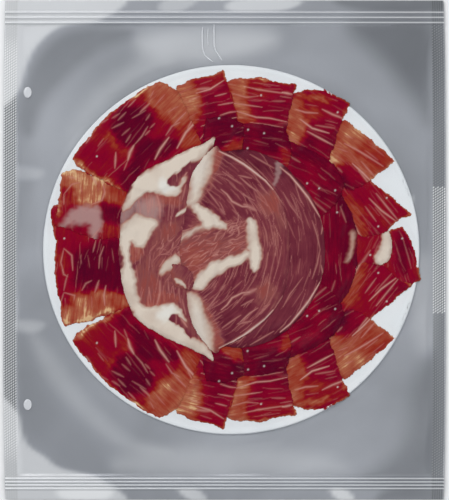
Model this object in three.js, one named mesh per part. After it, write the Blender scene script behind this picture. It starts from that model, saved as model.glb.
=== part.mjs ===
// Vacuum pack of hand-cut iberico ham: a silver laminate back, a white plate on it,
// a fan of thin slices round a rose of slices, and a clear film drawn down over them all.
// Millimetres, +Z up. The pack lies flat with its clear side up, its long side along Y.
// The origin is under the middle of the pouch.

import * as THREE from 'three';

// ---- Driving dimensions ----

const POUCH_WIDTH = 250;
const POUCH_LENGTH = 282;
const EDGE_BOW = 1.2;          // how far each long edge bulges at half length
const SHEET = 0.4;             // silver laminate
const WELD = 1.0;              // laminate and film sealed together
const SIDE_WELD_WIDTH = 7.4;
const END_WELD_WIDTH = 13.4;
const WELD_SLOPE = 0.5;        // width of the step from a weld down to the sheet
const BEAD_HEIGHT = 0.7;
const BEAD_WIDTH = 1.4;
const TOP_BEADS = { count: 3, first: 6.6, pitch: 2.9 };      // from the top edge
const BOTTOM_BEADS = { count: 4, first: 6.2, pitch: 1.85 };  // from the bottom edge

const PLATE_CENTRE = new THREE.Vector2(3.8, 0.2);
const PLATE_HALF_WIDTH = 106.4;
const PLATE_HALF_LENGTH = 104.4;
const PLATE_THICKNESS = 1.2;
const PLATE_EDGE_ROUND = 0.4;

const SLICE_THICKNESS = 0.8;
const FILM_THICKNESS = 0.3;
const GAP = 0.3;               // air between two pieces that touch

const SLICE_STEPS = { along: 9, across: 6 };
const ROUND_STEPS = 64;
const SLICE_BRIDGING = 2;      // passes that ease a slice over the steps below it
const FILM_BRIDGING = 5;

// ---- Ham slices ----
// Each slice is an outline of four sides, read by eye off a photograph taken from straight
// above, in its pixels. A side lists its first corner and the points it passes on the way to
// the next corner. The slices lie in this order, lowest first, and a slice in the fan has a
// twin across the plate's middle line.

const PHOTO_POUCH_WIDTH = 442;                  // pixels
const PHOTO_PLATE_CENTRE = [231.2, 249.2];      // pixels, with Y down
const PIXEL = POUCH_WIDTH / PHOTO_POUCH_WIDTH;  // mm

// A place in the photograph, in whole millimetres about the plate's centre.
function onPlate([px, py]) {
  return [
    Math.round((px - PHOTO_PLATE_CENTRE[0]) * PIXEL),
    Math.round((PHOTO_PLATE_CENTRE[1] - py) * PIXEL),
  ];
}

const HAM = {
  thin: { color: 0xb0583a, roughness: 0.45 },     // one layer, the plate shines through
  red: { color: 0x8e0020, roughness: 0.45 },      // two layers
  deep: { color: 0x620025, roughness: 0.45 },     // three or more
  rose: { color: 0x9a4f4c, roughness: 0.45 },     // paler muscle with broad fat
};

const SLICES = [
  { name: 'right_tip', meat: HAM.deep, sides: [
    [[402, 226], [411, 243], [416, 258]],
    [[420, 280], [404, 290]],
    [[384, 294], [373, 275]],
    [[372, 250], [384, 234]],
  ] },
  { name: 'left_lower', meat: HAM.red, sides: [
    [[50, 206], [64, 204], [100, 212]],
    [[136, 228], [141, 265]],
    [[130.5, 311], [103, 317], [84, 321]],
    [[64, 325], [60, 300], [55, 270], [57, 250], [52, 226]],
  ] },
  { name: 'wedge', meat: HAM.red, sides: [
    [[348, 216], [368, 214]],
    [[389, 229], [392, 245], [388, 260]],
    [[376, 266], [358, 267]],
    [[343, 256], [340, 236]],
  ] },
  { name: 'left_upper', meat: HAM.thin, sides: [
    [[62, 171], [80, 170], [97, 176]],
    [[134, 190], [138, 212]],
    [[122, 236], [96, 239], [70, 230]],
    [[54, 224], [58, 207], [60, 190]],
  ] },
  { name: 'fan_4', twin: true, meat: HAM.thin, sides: [
    [[339, 150], [370, 181], [387, 192], [400, 203]],
    [[411, 213], [400, 220], [385, 232]],
    [[362, 237], [342, 214]],
    [[328, 180], [332, 164]],
  ] },
  { name: 'fan_3', twin: true, meat: HAM.thin, sides: [
    [[306, 118], [344, 120], [362, 133], [380, 146]],
    [[395, 160], [384, 169], [373, 178]],
    [[352, 190], [324, 173]],
    [[300, 148], [302, 133]],
  ] },
  { name: 'fan_2', twin: true, meat: HAM.red, sides: [
    [[252, 101], [298, 91], [312, 88], [328, 92]],
    [[349, 103], [342, 121], [335, 140]],
    [[329, 163], [296, 158]],
    [[262, 142], [255, 120]],
  ] },
  { name: 'fan_1', twin: true, meat: HAM.red, sides: [
    [[204, 93], [232, 80], [248, 78], [264, 78], [276, 81]],
    [[296, 84], [291.5, 102], [288, 122]],
    [[283, 152], [246, 150]],
    [[214, 140], [207, 116]],
  ] },
  { name: 'fan_left', twin: true, meat: HAM.red, sides: [
    [[74, 155], [85, 141], [103, 121], [125, 100], [147, 87], [160, 82]],
    [[173, 87], [192, 106], [206, 132]],
    [[200, 158], [160, 190]],
    [[125, 191], [98, 178], [80, 167]],
  ] },
  { name: 'fan_top', twin: true, meat: HAM.red, sides: [
    [[177, 86], [191, 80], [206, 76]],
    [[224, 70], [229.5, 90], [234, 104], [239, 126]],
    [[241, 150], [222, 158]],
    [[205, 150], [190, 118]],
  ] },
  { name: 'mid_right', meat: HAM.deep, sides: [
    [[320, 184], [332, 189]],
    [[343, 196], [355, 222], [357, 249], [355, 276]],
    [[343, 301], [332, 309]],
    [[320, 313], [312, 280], [310, 249], [312, 217]],
  ] },
  { name: 'mid_2', twin: true, meat: HAM.deep, sides: [
    [[286, 139], [307, 149], [333, 164]],
    [[345, 184], [338, 202]],
    [[322, 216], [298, 190]],
    [[277, 165], [280, 150]],
  ] },
  { name: 'mid_1', twin: true, meat: HAM.deep, sides: [
    [[238, 124], [262, 123]],
    [[286, 130], [291, 150]],
    [[284, 176], [262, 170], [240, 162]],
    [[231, 146], [232, 134]],
  ] },
  { name: 'mid_0', twin: true, meat: HAM.deep, sides: [
    [[206, 118], [226, 117]],
    [[243, 124], [242, 148]],
    [[228, 166], [214, 160]],
    [[204, 152], [203, 134]],
  ] },
  { name: 'round', meat: HAM.rose, sides: [
    [[214, 152], [250, 150], [280, 163]],
    [[304, 186], [320, 214], [325, 249], [320, 284]],
    [[304, 312], [280, 334], [250, 346]],
    [[214, 345], [205, 300], [203, 249], [205, 198]],
  ] },
  { name: 'rose_left', meat: HAM.rose, sides: [
    [[215, 138], [200, 145], [179, 153], [160, 162], [143, 172]],
    [[131, 188], [122, 209], [120, 237], [120, 262], [123, 288]],
    [[133, 312], [143, 324], [160, 334], [178, 343], [198, 352]],
    [[214, 359], [205, 320], [212, 285], [222, 249], [212, 212], [205, 176]],
  ] },
  { name: 'rose_right', meat: HAM.rose, sides: [
    [[214, 147], [236, 158], [253, 168], [270, 184]],
    [[282, 201], [288, 225], [290, 249], [288, 273]],
    [[282, 297], [270, 314], [253, 330], [236, 340]],
    [[214, 351], [196, 334], [187, 292], [180, 249], [187, 206], [196, 163]],
  ] },
  { name: 'curl', meat: HAM.deep, sides: [
    [[172, 264], [183, 265]],
    [[193, 272], [194, 282]],
    [[191, 290], [182, 288]],
    [[174, 286], [171, 275]],
  ] },
];

// ---- Flat meshes: points in plan, triangles that turn left, and the rim in order ----

function flatGrid(columns, rows, place) {
  const points = [];
  for (let j = 0; j <= rows; j++) {
    for (let i = 0; i <= columns; i++) points.push(place(i, j));
  }
  const at = (i, j) => j * (columns + 1) + i;
  const triangles = [];
  for (let j = 0; j < rows; j++) {
    for (let i = 0; i < columns; i++) {
      const [a, b, c, d] = [at(i, j), at(i + 1, j), at(i + 1, j + 1), at(i, j + 1)];
      triangles.push([a, b, c], [a, c, d]);
    }
  }
  const rim = [];
  for (let i = 0; i < columns; i++) rim.push(at(i, 0));
  for (let j = 0; j < rows; j++) rim.push(at(columns, j));
  for (let i = columns; i > 0; i--) rim.push(at(i, rows));
  for (let j = rows; j > 0; j--) rim.push(at(0, j));
  return { points, triangles, rim };
}

function flatRings(steps, rings, place) {
  const points = [place(0, 0)];
  for (let ring = 1; ring <= rings; ring++) {
    for (let k = 0; k < steps; k++) points.push(place(ring, k));
  }
  const at = (ring, k) => (ring === 0 ? 0 : 1 + (ring - 1) * steps + (k % steps));
  const triangles = [];
  for (let k = 0; k < steps; k++) {
    triangles.push([0, at(1, k), at(1, k + 1)]);
    for (let ring = 1; ring < rings; ring++) {
      const [a, b] = [at(ring, k), at(ring, k + 1)];
      const [c, d] = [at(ring + 1, k + 1), at(ring + 1, k)];
      triangles.push([a, d, c], [a, c, b]);
    }
  }
  const rim = Array.from({ length: steps }, (_, k) => at(rings, k));
  return { points, triangles, rim };
}

// A closed solid between two heights over a flat mesh.
function thicken({ points, triangles, rim }, bottoms, tops) {
  const count = points.length;
  const positions = [];
  points.forEach(([x, y], i) => positions.push(x, y, tops[i]));
  points.forEach(([x, y], i) => positions.push(x, y, bottoms[i]));
  const faces = [];
  for (const [a, b, c] of triangles) faces.push(a, b, c, c + count, b + count, a + count);
  rim.forEach((a, i) => {
    const b = rim[(i + 1) % rim.length];
    faces.push(a, a + count, b, b, a + count, b + count);
  });
  const geometry = new THREE.BufferGeometry();
  geometry.setAttribute('position', new THREE.Float32BufferAttribute(positions, 3));
  geometry.setIndex(faces);
  geometry.computeVertexNormals();
  return geometry;
}

// ---- Draping: a map of heights that each new layer rests on and then adds to ----

const CELL = 1;
const MAP_HALF = Math.ceil(POUCH_LENGTH / 2) + 4;
const MAP_SIZE = Math.round((2 * MAP_HALF) / CELL);
const heights = new Float64Array(MAP_SIZE * MAP_SIZE).fill(SHEET);

// Calls visit(cell, x, y) for each cell of the map under a triangle and one cell round it.
function eachCell(corners, visit) {
  const turn = Math.sign(
    (corners[1][0] - corners[0][0]) * (corners[2][1] - corners[0][1])
    - (corners[1][1] - corners[0][1]) * (corners[2][0] - corners[0][0]));
  const xs = corners.map((p) => p[0]);
  const ys = corners.map((p) => p[1]);
  const index = (value) => Math.floor((value + MAP_HALF) / CELL);
  for (let row = index(Math.min(...ys)) - 1; row <= index(Math.max(...ys)) + 1; row++) {
    for (let col = index(Math.min(...xs)) - 1; col <= index(Math.max(...xs)) + 1; col++) {
      const x = (col + 0.5) * CELL - MAP_HALF;
      const y = (row + 0.5) * CELL - MAP_HALF;
      const inside = corners.every(([x0, y0], i) => {
        const [x1, y1] = corners[(i + 1) % 3];
        const length = Math.hypot(x1 - x0, y1 - y0);
        return turn * ((x1 - x0) * (y - y0) - (y1 - y0) * (x - x0)) / length > -CELL;
      });
      if (inside) visit(row * MAP_SIZE + col, x, y);
    }
  }
}

// The highest thing under each triangle lifts all three of its corners clear of it.
function restOn({ points, triangles }) {
  const rest = new Array(points.length).fill(0);
  for (const triangle of triangles) {
    let highest = 0;
    eachCell(triangle.map((i) => points[i]), (cell) => {
      highest = Math.max(highest, heights[cell]);
    });
    for (const i of triangle) rest[i] = Math.max(rest[i], highest + GAP);
  }
  return rest;
}

function addToMap({ points, triangles }, tops) {
  for (const triangle of triangles) {
    const [a, b, c] = triangle.map((i) => [...points[i], tops[i]]);
    const [ux, uy, uz] = [b[0] - a[0], b[1] - a[1], b[2] - a[2]];
    const [vx, vy, vz] = [c[0] - a[0], c[1] - a[1], c[2] - a[2]];
    const area = ux * vy - uy * vx;
    const slopeX = (uz * vy - vz * uy) / area;
    const slopeY = (vz * ux - uz * vx) / area;
    const spare = CELL * (Math.abs(slopeX) + Math.abs(slopeY));
    const highest = Math.max(a[2], b[2], c[2]);
    eachCell([a, b, c], (cell, x, y) => {
      const top = a[2] + slopeX * (x - a[0]) + slopeY * (y - a[1]) + spare;
      heights[cell] = Math.max(heights[cell], Math.min(top, highest));
    });
  }
}

// A sheet too stiff for a sharp step bridges it: each point inside the rim rises to its
// neighbours' mean.
function bridge({ points, triangles, rim }, rest, passes) {
  const onRim = new Set(rim);
  for (let pass = 0; pass < passes; pass++) {
    const sums = new Array(points.length).fill(0);
    const counts = new Array(points.length).fill(0);
    for (const triangle of triangles) {
      for (const i of triangle) {
        for (const j of triangle) sums[i] += rest[j];
        counts[i] += 3;
      }
    }
    rest.forEach((z, i) => {
      if (!onRim.has(i)) rest[i] = Math.max(z, sums[i] / counts[i]);
    });
  }
}

function drape(flat, thickness, passes) {
  const bottoms = restOn(flat);
  bridge(flat, bottoms, passes);
  const tops = bottoms.map((z) => z + thickness);
  addToMap(flat, tops);
  return thicken(flat, bottoms, tops);
}

// ---- Pieces ----

function pouchHalfWidth(y) {
  return POUCH_WIDTH / 2 - EDGE_BOW * (2 * y / POUCH_LENGTH) ** 4;
}

// Rows along the back's length, each with the height it has over its whole width.
function weldRows({ count, first, pitch }) {
  const rows = [[0, WELD]];
  for (let i = 0; i < count; i++) {
    const middle = first + i * pitch;
    const flank = BEAD_WIDTH / 2;
    rows.push([middle - flank, WELD], [middle - flank / 2, WELD + BEAD_HEIGHT]);
    rows.push([middle + flank / 2, WELD + BEAD_HEIGHT], [middle + flank, WELD]);
  }
  rows.push([END_WELD_WIDTH, WELD], [END_WELD_WIDTH + WELD_SLOPE, SHEET]);
  return rows;
}

function makeBack() {
  const half = POUCH_LENGTH / 2;
  const bottom = weldRows(BOTTOM_BEADS).map(([d, z]) => [d - half, z]);
  const top = weldRows(TOP_BEADS).map(([d, z]) => [half - d, z]).reverse();
  const [start, end] = [bottom.at(-1)[0], top[0][0]];
  const spans = 10;
  const middle = [];
  for (let i = 1; i < spans; i++) middle.push([start + (end - start) * (i / spans), SHEET]);
  const rows = [...bottom, ...middle, ...top];
  const insets = [0, SIDE_WELD_WIDTH, SIDE_WELD_WIDTH + WELD_SLOPE];
  const columns = [...insets.map((d) => [-1, d]), ...insets.map((d) => [1, d]).reverse()];
  const inWeld = (i) => columns[i][1] <= SIDE_WELD_WIDTH;
  const flat = flatGrid(columns.length - 1, rows.length - 1, (i, j) => {
    const [side, inset] = columns[i];
    return [side * (pouchHalfWidth(rows[j][0]) - inset), rows[j][0]];
  });
  const tops = flat.points.map((_, k) => {
    const z = rows[Math.floor(k / columns.length)][1];
    return inWeld(k % columns.length) ? Math.max(z, WELD) : z;
  });
  return thicken(flat, tops.map(() => 0), tops);
}

function plateRim(angle) {
  return [PLATE_HALF_WIDTH * Math.cos(angle), PLATE_HALF_LENGTH * Math.sin(angle)];
}

function makePlate() {
  const inner = 1 - PLATE_EDGE_ROUND / PLATE_HALF_WIDTH;
  const flat = flatRings(ROUND_STEPS, 2, (ring, k) => {
    const [x, y] = plateRim((2 * Math.PI * k) / ROUND_STEPS);
    const scale = [0, inner, 1][ring];
    return [x * scale, y * scale];
  });
  const bottom = SHEET + GAP;
  const tops = flat.points.map(() => bottom + PLATE_THICKNESS);
  addToMap(flat, tops);
  for (const i of flat.rim) tops[i] -= PLATE_EDGE_ROUND;
  return thicken(flat, tops.map(() => bottom), tops);
}

// A slice is stretched between its four sides.
function makeSlice(sides, mirrored) {
  const flip = mirrored ? -1 : 1;
  const corners = sides.map((side) => new THREE.Vector2(side[0][0], flip * side[0][1]));
  const curves = sides.map((side, s) => {
    const points = side.map(([x, y]) => new THREE.Vector3(x, flip * y, 0));
    const next = corners[(s + 1) % 4];
    return new THREE.CatmullRomCurve3([...points, new THREE.Vector3(next.x, next.y, 0)]);
  });
  const { along, across } = SLICE_STEPS;
  const place = (i, j) => {
    const [u, v] = [i / along, j / across];
    const [north, east] = [curves[0].getPointAt(u), curves[1].getPointAt(v)];
    const [south, west] = [curves[2].getPointAt(1 - u), curves[3].getPointAt(1 - v)];
    const [a, b, c, d] = corners;
    const blend = (axis) => (1 - v) * north[axis] + v * south[axis]
      + (1 - u) * west[axis] + u * east[axis]
      - (1 - u) * (1 - v) * a[axis] - u * (1 - v) * b[axis] - u * v * c[axis]
      - (1 - u) * v * d[axis];
    return [blend('x'), blend('y')];
  };
  // Where the sides run clockwise, the grid is read from its last row up.
  const clockwise = THREE.ShapeUtils.area(corners) < 0;
  const row = (j) => (clockwise ? across - j : j);
  return drape(flatGrid(along, across, (i, j) => place(i, row(j))), SLICE_THICKNESS,
    SLICE_BRIDGING);
}

// The film follows the plate's rim outwards and meets the welds at a rectangle.
function makeFilm() {
  const onPlate = [0, 0.14, 0.27, 0.4, 0.52, 0.63, 0.73, 0.82, 0.9, 0.97, 1.02];
  const toWeld = [0.35, 1];
  const inset = WELD_SLOPE + GAP;
  const halfLength = POUCH_LENGTH / 2 - END_WELD_WIDTH - inset;
  const sideAt = (y) => {
    const within = THREE.MathUtils.clamp(y, -halfLength, halfLength);
    return pouchHalfWidth(within) - SIDE_WELD_WIDTH - inset;
  };
  const cornerAngles = [[1, 1], [-1, 1], [-1, -1], [1, -1]].map(([sx, sy]) => {
    const y = sy * halfLength;
    return Math.atan2(y - PLATE_CENTRE.y, sx * sideAt(y) - PLATE_CENTRE.x);
  });
  const step = (2 * Math.PI) / ROUND_STEPS;
  const angles = Array.from({ length: ROUND_STEPS }, (_, k) => k * step);
  for (const corner of cornerAngles) {
    const turned = (corner + 2 * Math.PI) % (2 * Math.PI);
    angles[Math.round(turned / step) % ROUND_STEPS] = turned;
  }
  const border = (angle) => {
    const [cos, sin] = [Math.cos(angle), Math.sin(angle)];
    const reachY = (Math.sign(sin) * halfLength - PLATE_CENTRE.y) / sin;
    let reach = Math.abs(sin) > 1e-6 ? reachY : Infinity;
    const reachX = (y) => (Math.sign(cos) * sideAt(y) - PLATE_CENTRE.x) / cos;
    if (Math.abs(cos) > 1e-6) {
      let side = reachX(PLATE_CENTRE.y);
      for (let i = 0; i < 4; i++) side = reachX(PLATE_CENTRE.y + side * sin);
      reach = Math.min(reach, side);
    }
    return [reach * cos, reach * sin];
  };
  const rings = onPlate.length + toWeld.length - 1;
  const flat = flatRings(ROUND_STEPS, rings, (ring, k) => {
    const [x, y] = plateRim(angles[k]);
    if (ring < onPlate.length) return [x * onPlate[ring], y * onPlate[ring]];
    const part = toWeld[ring - onPlate.length];
    const [edgeX, edgeY] = border(angles[k]);
    const reach = onPlate.at(-1);
    return [x * reach * (1 - part) + edgeX * part, y * reach * (1 - part) + edgeY * part];
  });
  return drape(flat, FILM_THICKNESS, FILM_BRIDGING);
}

// ---- Assembly ----

function mesh(name, geometry, look) {
  const piece = new THREE.Mesh(geometry, new THREE.MeshStandardMaterial(look));
  piece.name = name;
  return piece;
}

const group = new THREE.Group();
group.add(mesh('back_sheet', makeBack(), { color: 0x8c9096, metalness: 0.8, roughness: 0.4 }));

const contents = new THREE.Group();
contents.position.set(PLATE_CENTRE.x, PLATE_CENTRE.y, 0);
contents.add(mesh('plate', makePlate(), { color: 0xe6e9ea, metalness: 0, roughness: 0.5 }));
for (const { name, twin, meat, sides: read } of SLICES) {
  const sides = read.map((side) => side.map(onPlate));
  const label = twin ? `slice_${name}_top` : `slice_${name}`;
  contents.add(mesh(label, makeSlice(sides, false), meat));
  if (twin) contents.add(mesh(`slice_${name}_bottom`, makeSlice(sides, true), meat));
}
contents.add(mesh('front_film', makeFilm(), {
  color: 0xffffff, metalness: 0, roughness: 0.1, transparent: true, opacity: 0.25,
}));
group.add(contents);

export default group;
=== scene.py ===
"""A flat vacuum pack of sliced iberico ham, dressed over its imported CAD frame.

Plan places are millimetres: of the laminate and the stage about the pouch's middle, and of
everything on the plate about the plate's centre, with Y towards the seal with three beads.
"""
import math

import bmesh
import bpy
import numpy as np
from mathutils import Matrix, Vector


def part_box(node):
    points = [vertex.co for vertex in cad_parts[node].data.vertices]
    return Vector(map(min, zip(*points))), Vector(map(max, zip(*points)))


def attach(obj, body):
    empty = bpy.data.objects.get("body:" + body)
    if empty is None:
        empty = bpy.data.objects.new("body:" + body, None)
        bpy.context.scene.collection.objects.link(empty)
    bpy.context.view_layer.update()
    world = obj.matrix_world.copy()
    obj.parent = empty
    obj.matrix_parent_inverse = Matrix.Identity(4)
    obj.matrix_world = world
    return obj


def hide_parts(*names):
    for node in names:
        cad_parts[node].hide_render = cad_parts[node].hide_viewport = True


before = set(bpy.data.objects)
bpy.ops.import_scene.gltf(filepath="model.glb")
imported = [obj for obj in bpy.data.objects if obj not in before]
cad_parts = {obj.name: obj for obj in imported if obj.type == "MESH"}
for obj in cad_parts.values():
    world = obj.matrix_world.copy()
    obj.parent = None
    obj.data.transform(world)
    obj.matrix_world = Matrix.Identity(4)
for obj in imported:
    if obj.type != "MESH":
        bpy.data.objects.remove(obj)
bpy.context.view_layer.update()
MM = 0.001


# ---- Stage: a pale table, soft studio light and a camera that looks straight down ----
# The pouch fills the photograph from its top edge to its bottom edge, so the view's height
# is the pouch's length. The camera stands far off, as for a catalogue picture.

def linear(hex_colour):
    """An sRGB hex colour as linear RGBA."""
    channels = [int(hex_colour[i:i + 2], 16) / 255 for i in (1, 3, 5)]
    return tuple(c / 12.92 if c <= 0.04045 else ((c + 0.055) / 1.055) ** 2.4
                 for c in channels) + (1.0,)


def add(tree, kind, inputs=None, **settings):
    """Adds a node. An input is a value, or another node's output socket to link."""
    node = tree.nodes.new(kind)
    for name, value in settings.items():
        setattr(node, name, value)
    for name, value in (inputs or {}).items():
        socket = node.inputs[name]
        if isinstance(value, bpy.types.NodeSocket):
            tree.links.new(value, socket)
        else:
            socket.default_value = value
    return node


def new_material(name):
    """A material with nodes: returns it, its tree and its Principled shader."""
    material = bpy.data.materials.new(name)
    material.use_nodes = True
    return material, material.node_tree, material.node_tree.nodes["Principled BSDF"]


def ramp(tree, value, stops):
    """A colour ramp over value, with (position, colour) stops."""
    node = add(tree, "ShaderNodeValToRGB", {"Fac": value})
    elements = node.color_ramp.elements
    while len(elements) < len(stops):
        elements.new(0.5)
    for element, (position, colour) in zip(elements, stops):
        element.position = position
        element.color = colour
    return node.outputs["Color"]


def new_object(name, mesh, material):
    """Links a mesh into the scene as an object at the origin."""
    obj = bpy.data.objects.new(name, mesh)
    bpy.context.scene.collection.objects.link(obj)
    obj.data.materials.append(material)
    return obj


VIEW_HEIGHT = 282.8 * MM
CAMERA_HEIGHT = 2.2
TABLE_SIZE = 3.0
scene = bpy.context.scene
scene.view_settings.view_transform = "Standard"
scene.view_settings.look = "None"

camera_data = bpy.data.cameras.new("camera")
camera_data.sensor_fit = "VERTICAL"
camera_data.angle = 2 * math.atan(VIEW_HEIGHT / 2 / CAMERA_HEIGHT)
camera = bpy.data.objects.new("camera", camera_data)
camera.location = (0, 0, CAMERA_HEIGHT)
scene.collection.objects.link(camera)
scene.camera = camera

world = bpy.data.worlds.new("studio")
world.use_nodes = True
sky = world.node_tree
sky_direction = add(sky, "ShaderNodeTexCoord").outputs["Generated"]
sky_axis = add(sky, "ShaderNodeSeparateXYZ", {"Vector": sky_direction})
sky_colour = ramp(sky, sky_axis.outputs["Z"], [
    (0.0, linear("#d4d6d9")), (0.5, linear("#c3c7cd")), (0.84, linear("#d0d3d8")),
    (0.96, linear("#7c8086")), (1.0, linear("#5d6166"))])
backdrop = sky.nodes["Background"]
sky.links.new(sky_colour, backdrop.inputs["Color"])
backdrop.inputs["Strength"].default_value = 0.75
scene.world = world

for name, place, size, power in [
        ("key_light", (-0.7, 0.9, 1.3), 1.0, 15), ("fill_light", (0.9, -0.5, 1.4), 1.2, 8)]:
    light_data = bpy.data.lights.new(name, "AREA")
    light_data.size = size
    light_data.energy = power
    light = bpy.data.objects.new(name, light_data)
    light.location = place
    direction = -light.location
    light.rotation_euler = direction.to_track_quat("-Z", "Y").to_euler()
    scene.collection.objects.link(light)

table_material, tree, shader = new_material("table_painted_white")
shader.inputs["Base Color"].default_value = linear("#f6f6f6")
shader.inputs["Roughness"].default_value = 0.8
bm = bmesh.new()
bmesh.ops.create_grid(bm, x_segments=1, y_segments=1, size=TABLE_SIZE / 2)
bmesh.ops.translate(bm, verts=bm.verts, vec=(0, 0, -0.5 * MM))
table_mesh = bpy.data.meshes.new("table")
bm.to_mesh(table_mesh)
bm.free()
new_object("table", table_mesh, table_material)


# ---- Height map: what the plate, each slice and the film in turn are laid over ----
# Thin sheets in a vacuum pack press down on what is under them. A map of heights over the
# pouch starts at the laminate, and each piece rests on it and then adds its own top.

CELL = 0.5
MAP_HALF = 146.0
MAP_SIZE = int(2 * MAP_HALF / CELL)
map_line = (np.arange(MAP_SIZE) + 0.5) * CELL - MAP_HALF
map_x, map_y = np.meshgrid(map_line, map_line)


def shifted(values, step, axis):
    """The map moved by some cells, with its edge repeated."""
    order = np.clip(np.arange(MAP_SIZE) - step, 0, MAP_SIZE - 1)
    return np.take(values, order, axis=axis)


def widened(values, reach):
    """Each cell takes the highest value within reach, in mm."""
    cells = round(reach / CELL)
    for axis in (0, 1):
        steps = [shifted(values, s, axis) for s in range(-cells, cells + 1)]
        values = np.max(steps, axis=0)
    return values


def blurred(values, spread):
    """The map smoothed by a bell curve of that spread, in mm."""
    cells = int(3 * spread / CELL) + 1
    weights = np.exp(-0.5 * (np.arange(-cells, cells + 1) * CELL / spread) ** 2)
    weights /= weights.sum()
    for axis in (0, 1):
        values = sum(w * shifted(values, s, axis)
                     for s, w in zip(range(-cells, cells + 1), weights))
    return values


def sampled(values, x, y):
    """The map's value at each plan point, between the cells round it."""
    col = np.clip((x + MAP_HALF) / CELL - 0.5, 0, MAP_SIZE - 1.001)
    row = np.clip((y + MAP_HALF) / CELL - 0.5, 0, MAP_SIZE - 1.001)
    i, j = col.astype(int), row.astype(int)
    u, v = col - i, row - j
    return ((values[j, i] * (1 - u) + values[j, i + 1] * u) * (1 - v)
            + (values[j + 1, i] * (1 - u) + values[j + 1, i + 1] * u) * v)


def plan_points(mesh):
    """The mesh's vertices in mm, as rows of x, y and z."""
    flat = np.empty(len(mesh.vertices) * 3)
    mesh.vertices.foreach_get("co", flat)
    return flat.reshape(-1, 3) / MM


def set_points(mesh, points):
    mesh.vertices.foreach_set("co", (points * MM).ravel())
    mesh.update()


def set_attribute(mesh, name, values):
    """A number at each vertex, for the material to read."""
    layer = mesh.attributes.new(name, "FLOAT", "POINT")
    layer.data.foreach_set("value", np.asarray(values, dtype=np.float32))


def smoothstep(low, high, value):
    t = np.clip((value - low) / (high - low), 0, 1)
    return t * t * (3 - 2 * t)


# ---- Laminate back: metallised film, welded to the clear film along all four edges ----
# PET and aluminium laminate, satin and slightly cockled. The side welds are knurled by the
# sealing bar with hexagonal dots, and the end welds carry straight round beads.

back_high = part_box("back_sheet")[1] / MM
POUCH_HALF_WIDTH = back_high.x
POUCH_HALF_LENGTH = back_high.y
EDGE_BOW = 1.2
SHEET = 0.4
WELD = 1.0
SIDE_WELD = 7.4
END_WELD = 13.4
BEAD_HEIGHT = 0.7
BEAD_HALF_WIDTH = 0.75
TOP_BEADS = [POUCH_HALF_LENGTH - 6.6 - 2.9 * i for i in range(3)]
BOTTOM_BEADS = [-POUCH_HALF_LENGTH + 6.2 + 1.85 * i for i in range(4)]
KNURL_PITCH = (1.24, 1.53)
KNURL_HEIGHT = 0.22
plate_low, plate_high = (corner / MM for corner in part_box("plate"))
PLATE_X = (plate_low.x + plate_high.x) / 2
PLATE_Y = (plate_low.y + plate_high.y) / 2
PLATE_HALF = ((plate_high.x - plate_low.x) / 2, (plate_high.y - plate_low.y) / 2)


def smooth_loop(points, spacing):
    """A closed smooth curve through the points, as even steps."""
    closed = np.concatenate([points[-1:], points, points[:2]])
    t = np.linspace(0, 1, 12, endpoint=False)[:, None]
    parts = []
    for a, b, c, d in zip(closed, closed[1:], closed[2:], closed[3:]):
        parts.append(0.5 * (2 * b + (c - a) * t + (2 * a - 5 * b + 4 * c - d) * t ** 2
                            + (3 * b - a - 3 * c + d) * t ** 3))
    curve = np.concatenate(parts)
    around = np.concatenate([curve, curve[:1]])
    length = np.concatenate([[0], np.cumsum(np.linalg.norm(np.diff(around, axis=0), axis=1))])
    at = np.linspace(0, length[-1], int(length[-1] / spacing), endpoint=False)
    return np.stack([np.interp(at, length, around[:, k]) for k in (0, 1)], 1)


def loop_distance(points, loop):
    """Distance of each point from the loop, less than 0 inside, and the nearest place on it."""
    ends = np.roll(loop, -1, axis=0)
    span = ends - loop
    square = (span ** 2).sum(1)
    distance, nearest = np.empty(len(points)), np.empty((len(points), 2))
    for first in range(0, len(points), 3000):
        block = points[first:first + 3000]
        offset = block[:, None, :] - loop[None]
        along = np.clip((offset * span).sum(2) / square, 0, 1)
        foot = loop[None] + along[..., None] * span
        gap = ((block[:, None, :] - foot) ** 2).sum(2)
        best = gap.argmin(1)
        picked = np.arange(len(block))
        crosses = ((loop[None, :, 1] > block[:, None, 1])
                   != (ends[None, :, 1] > block[:, None, 1]))
        rise = np.where(span[:, 1] == 0, 1e-12, span[:, 1])
        cut_x = loop[:, 0] + (block[:, None, 1] - loop[:, 1]) / rise * span[:, 0]
        inside = (crosses & (block[:, None, 0] < cut_x)).sum(1) % 2 == 1
        distance[first:first + 3000] = np.where(inside, -1, 1) * np.sqrt(gap[picked, best])
        nearest[first:first + 3000] = foot[picked, best]
    return distance, nearest


def near_points(points, shape, margin):
    """Which points lie in the shape's box, widened by the margin."""
    low, high = shape.min(0) - margin, shape.max(0) + margin
    return ((points > low) & (points < high)).all(1)


def wandered(points, reach, seed):
    """The points moved by a smooth random field, so that soft areas get natural edges."""
    draw = np.random.default_rng(seed)
    moved = points.astype(float).copy()
    for wavelength, share in ((17, 0.4), (9, 0.35), (5, 0.3), (2.8, 0.2)):
        for axis in (0, 1):
            for _ in range(2):
                turn = draw.uniform(0, 2 * math.pi)
                wave = (points[:, 0] * math.cos(turn) + points[:, 1] * math.sin(turn))
                moved[:, axis] += reach * share * np.sin(
                    2 * math.pi * wave / wavelength + draw.uniform(0, 6.28))
    return moved


def area_cover(points, outline, softness):
    """How far each point is within a soft-edged area, 0 to 1."""
    loop = smooth_loop(np.array(outline, float), 1.0)
    near = near_points(points, loop, softness)
    cover = np.zeros(len(points))
    if near.any():
        cover[near] = smoothstep(softness, -softness, loop_distance(points[near], loop)[0])
    return cover


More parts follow.
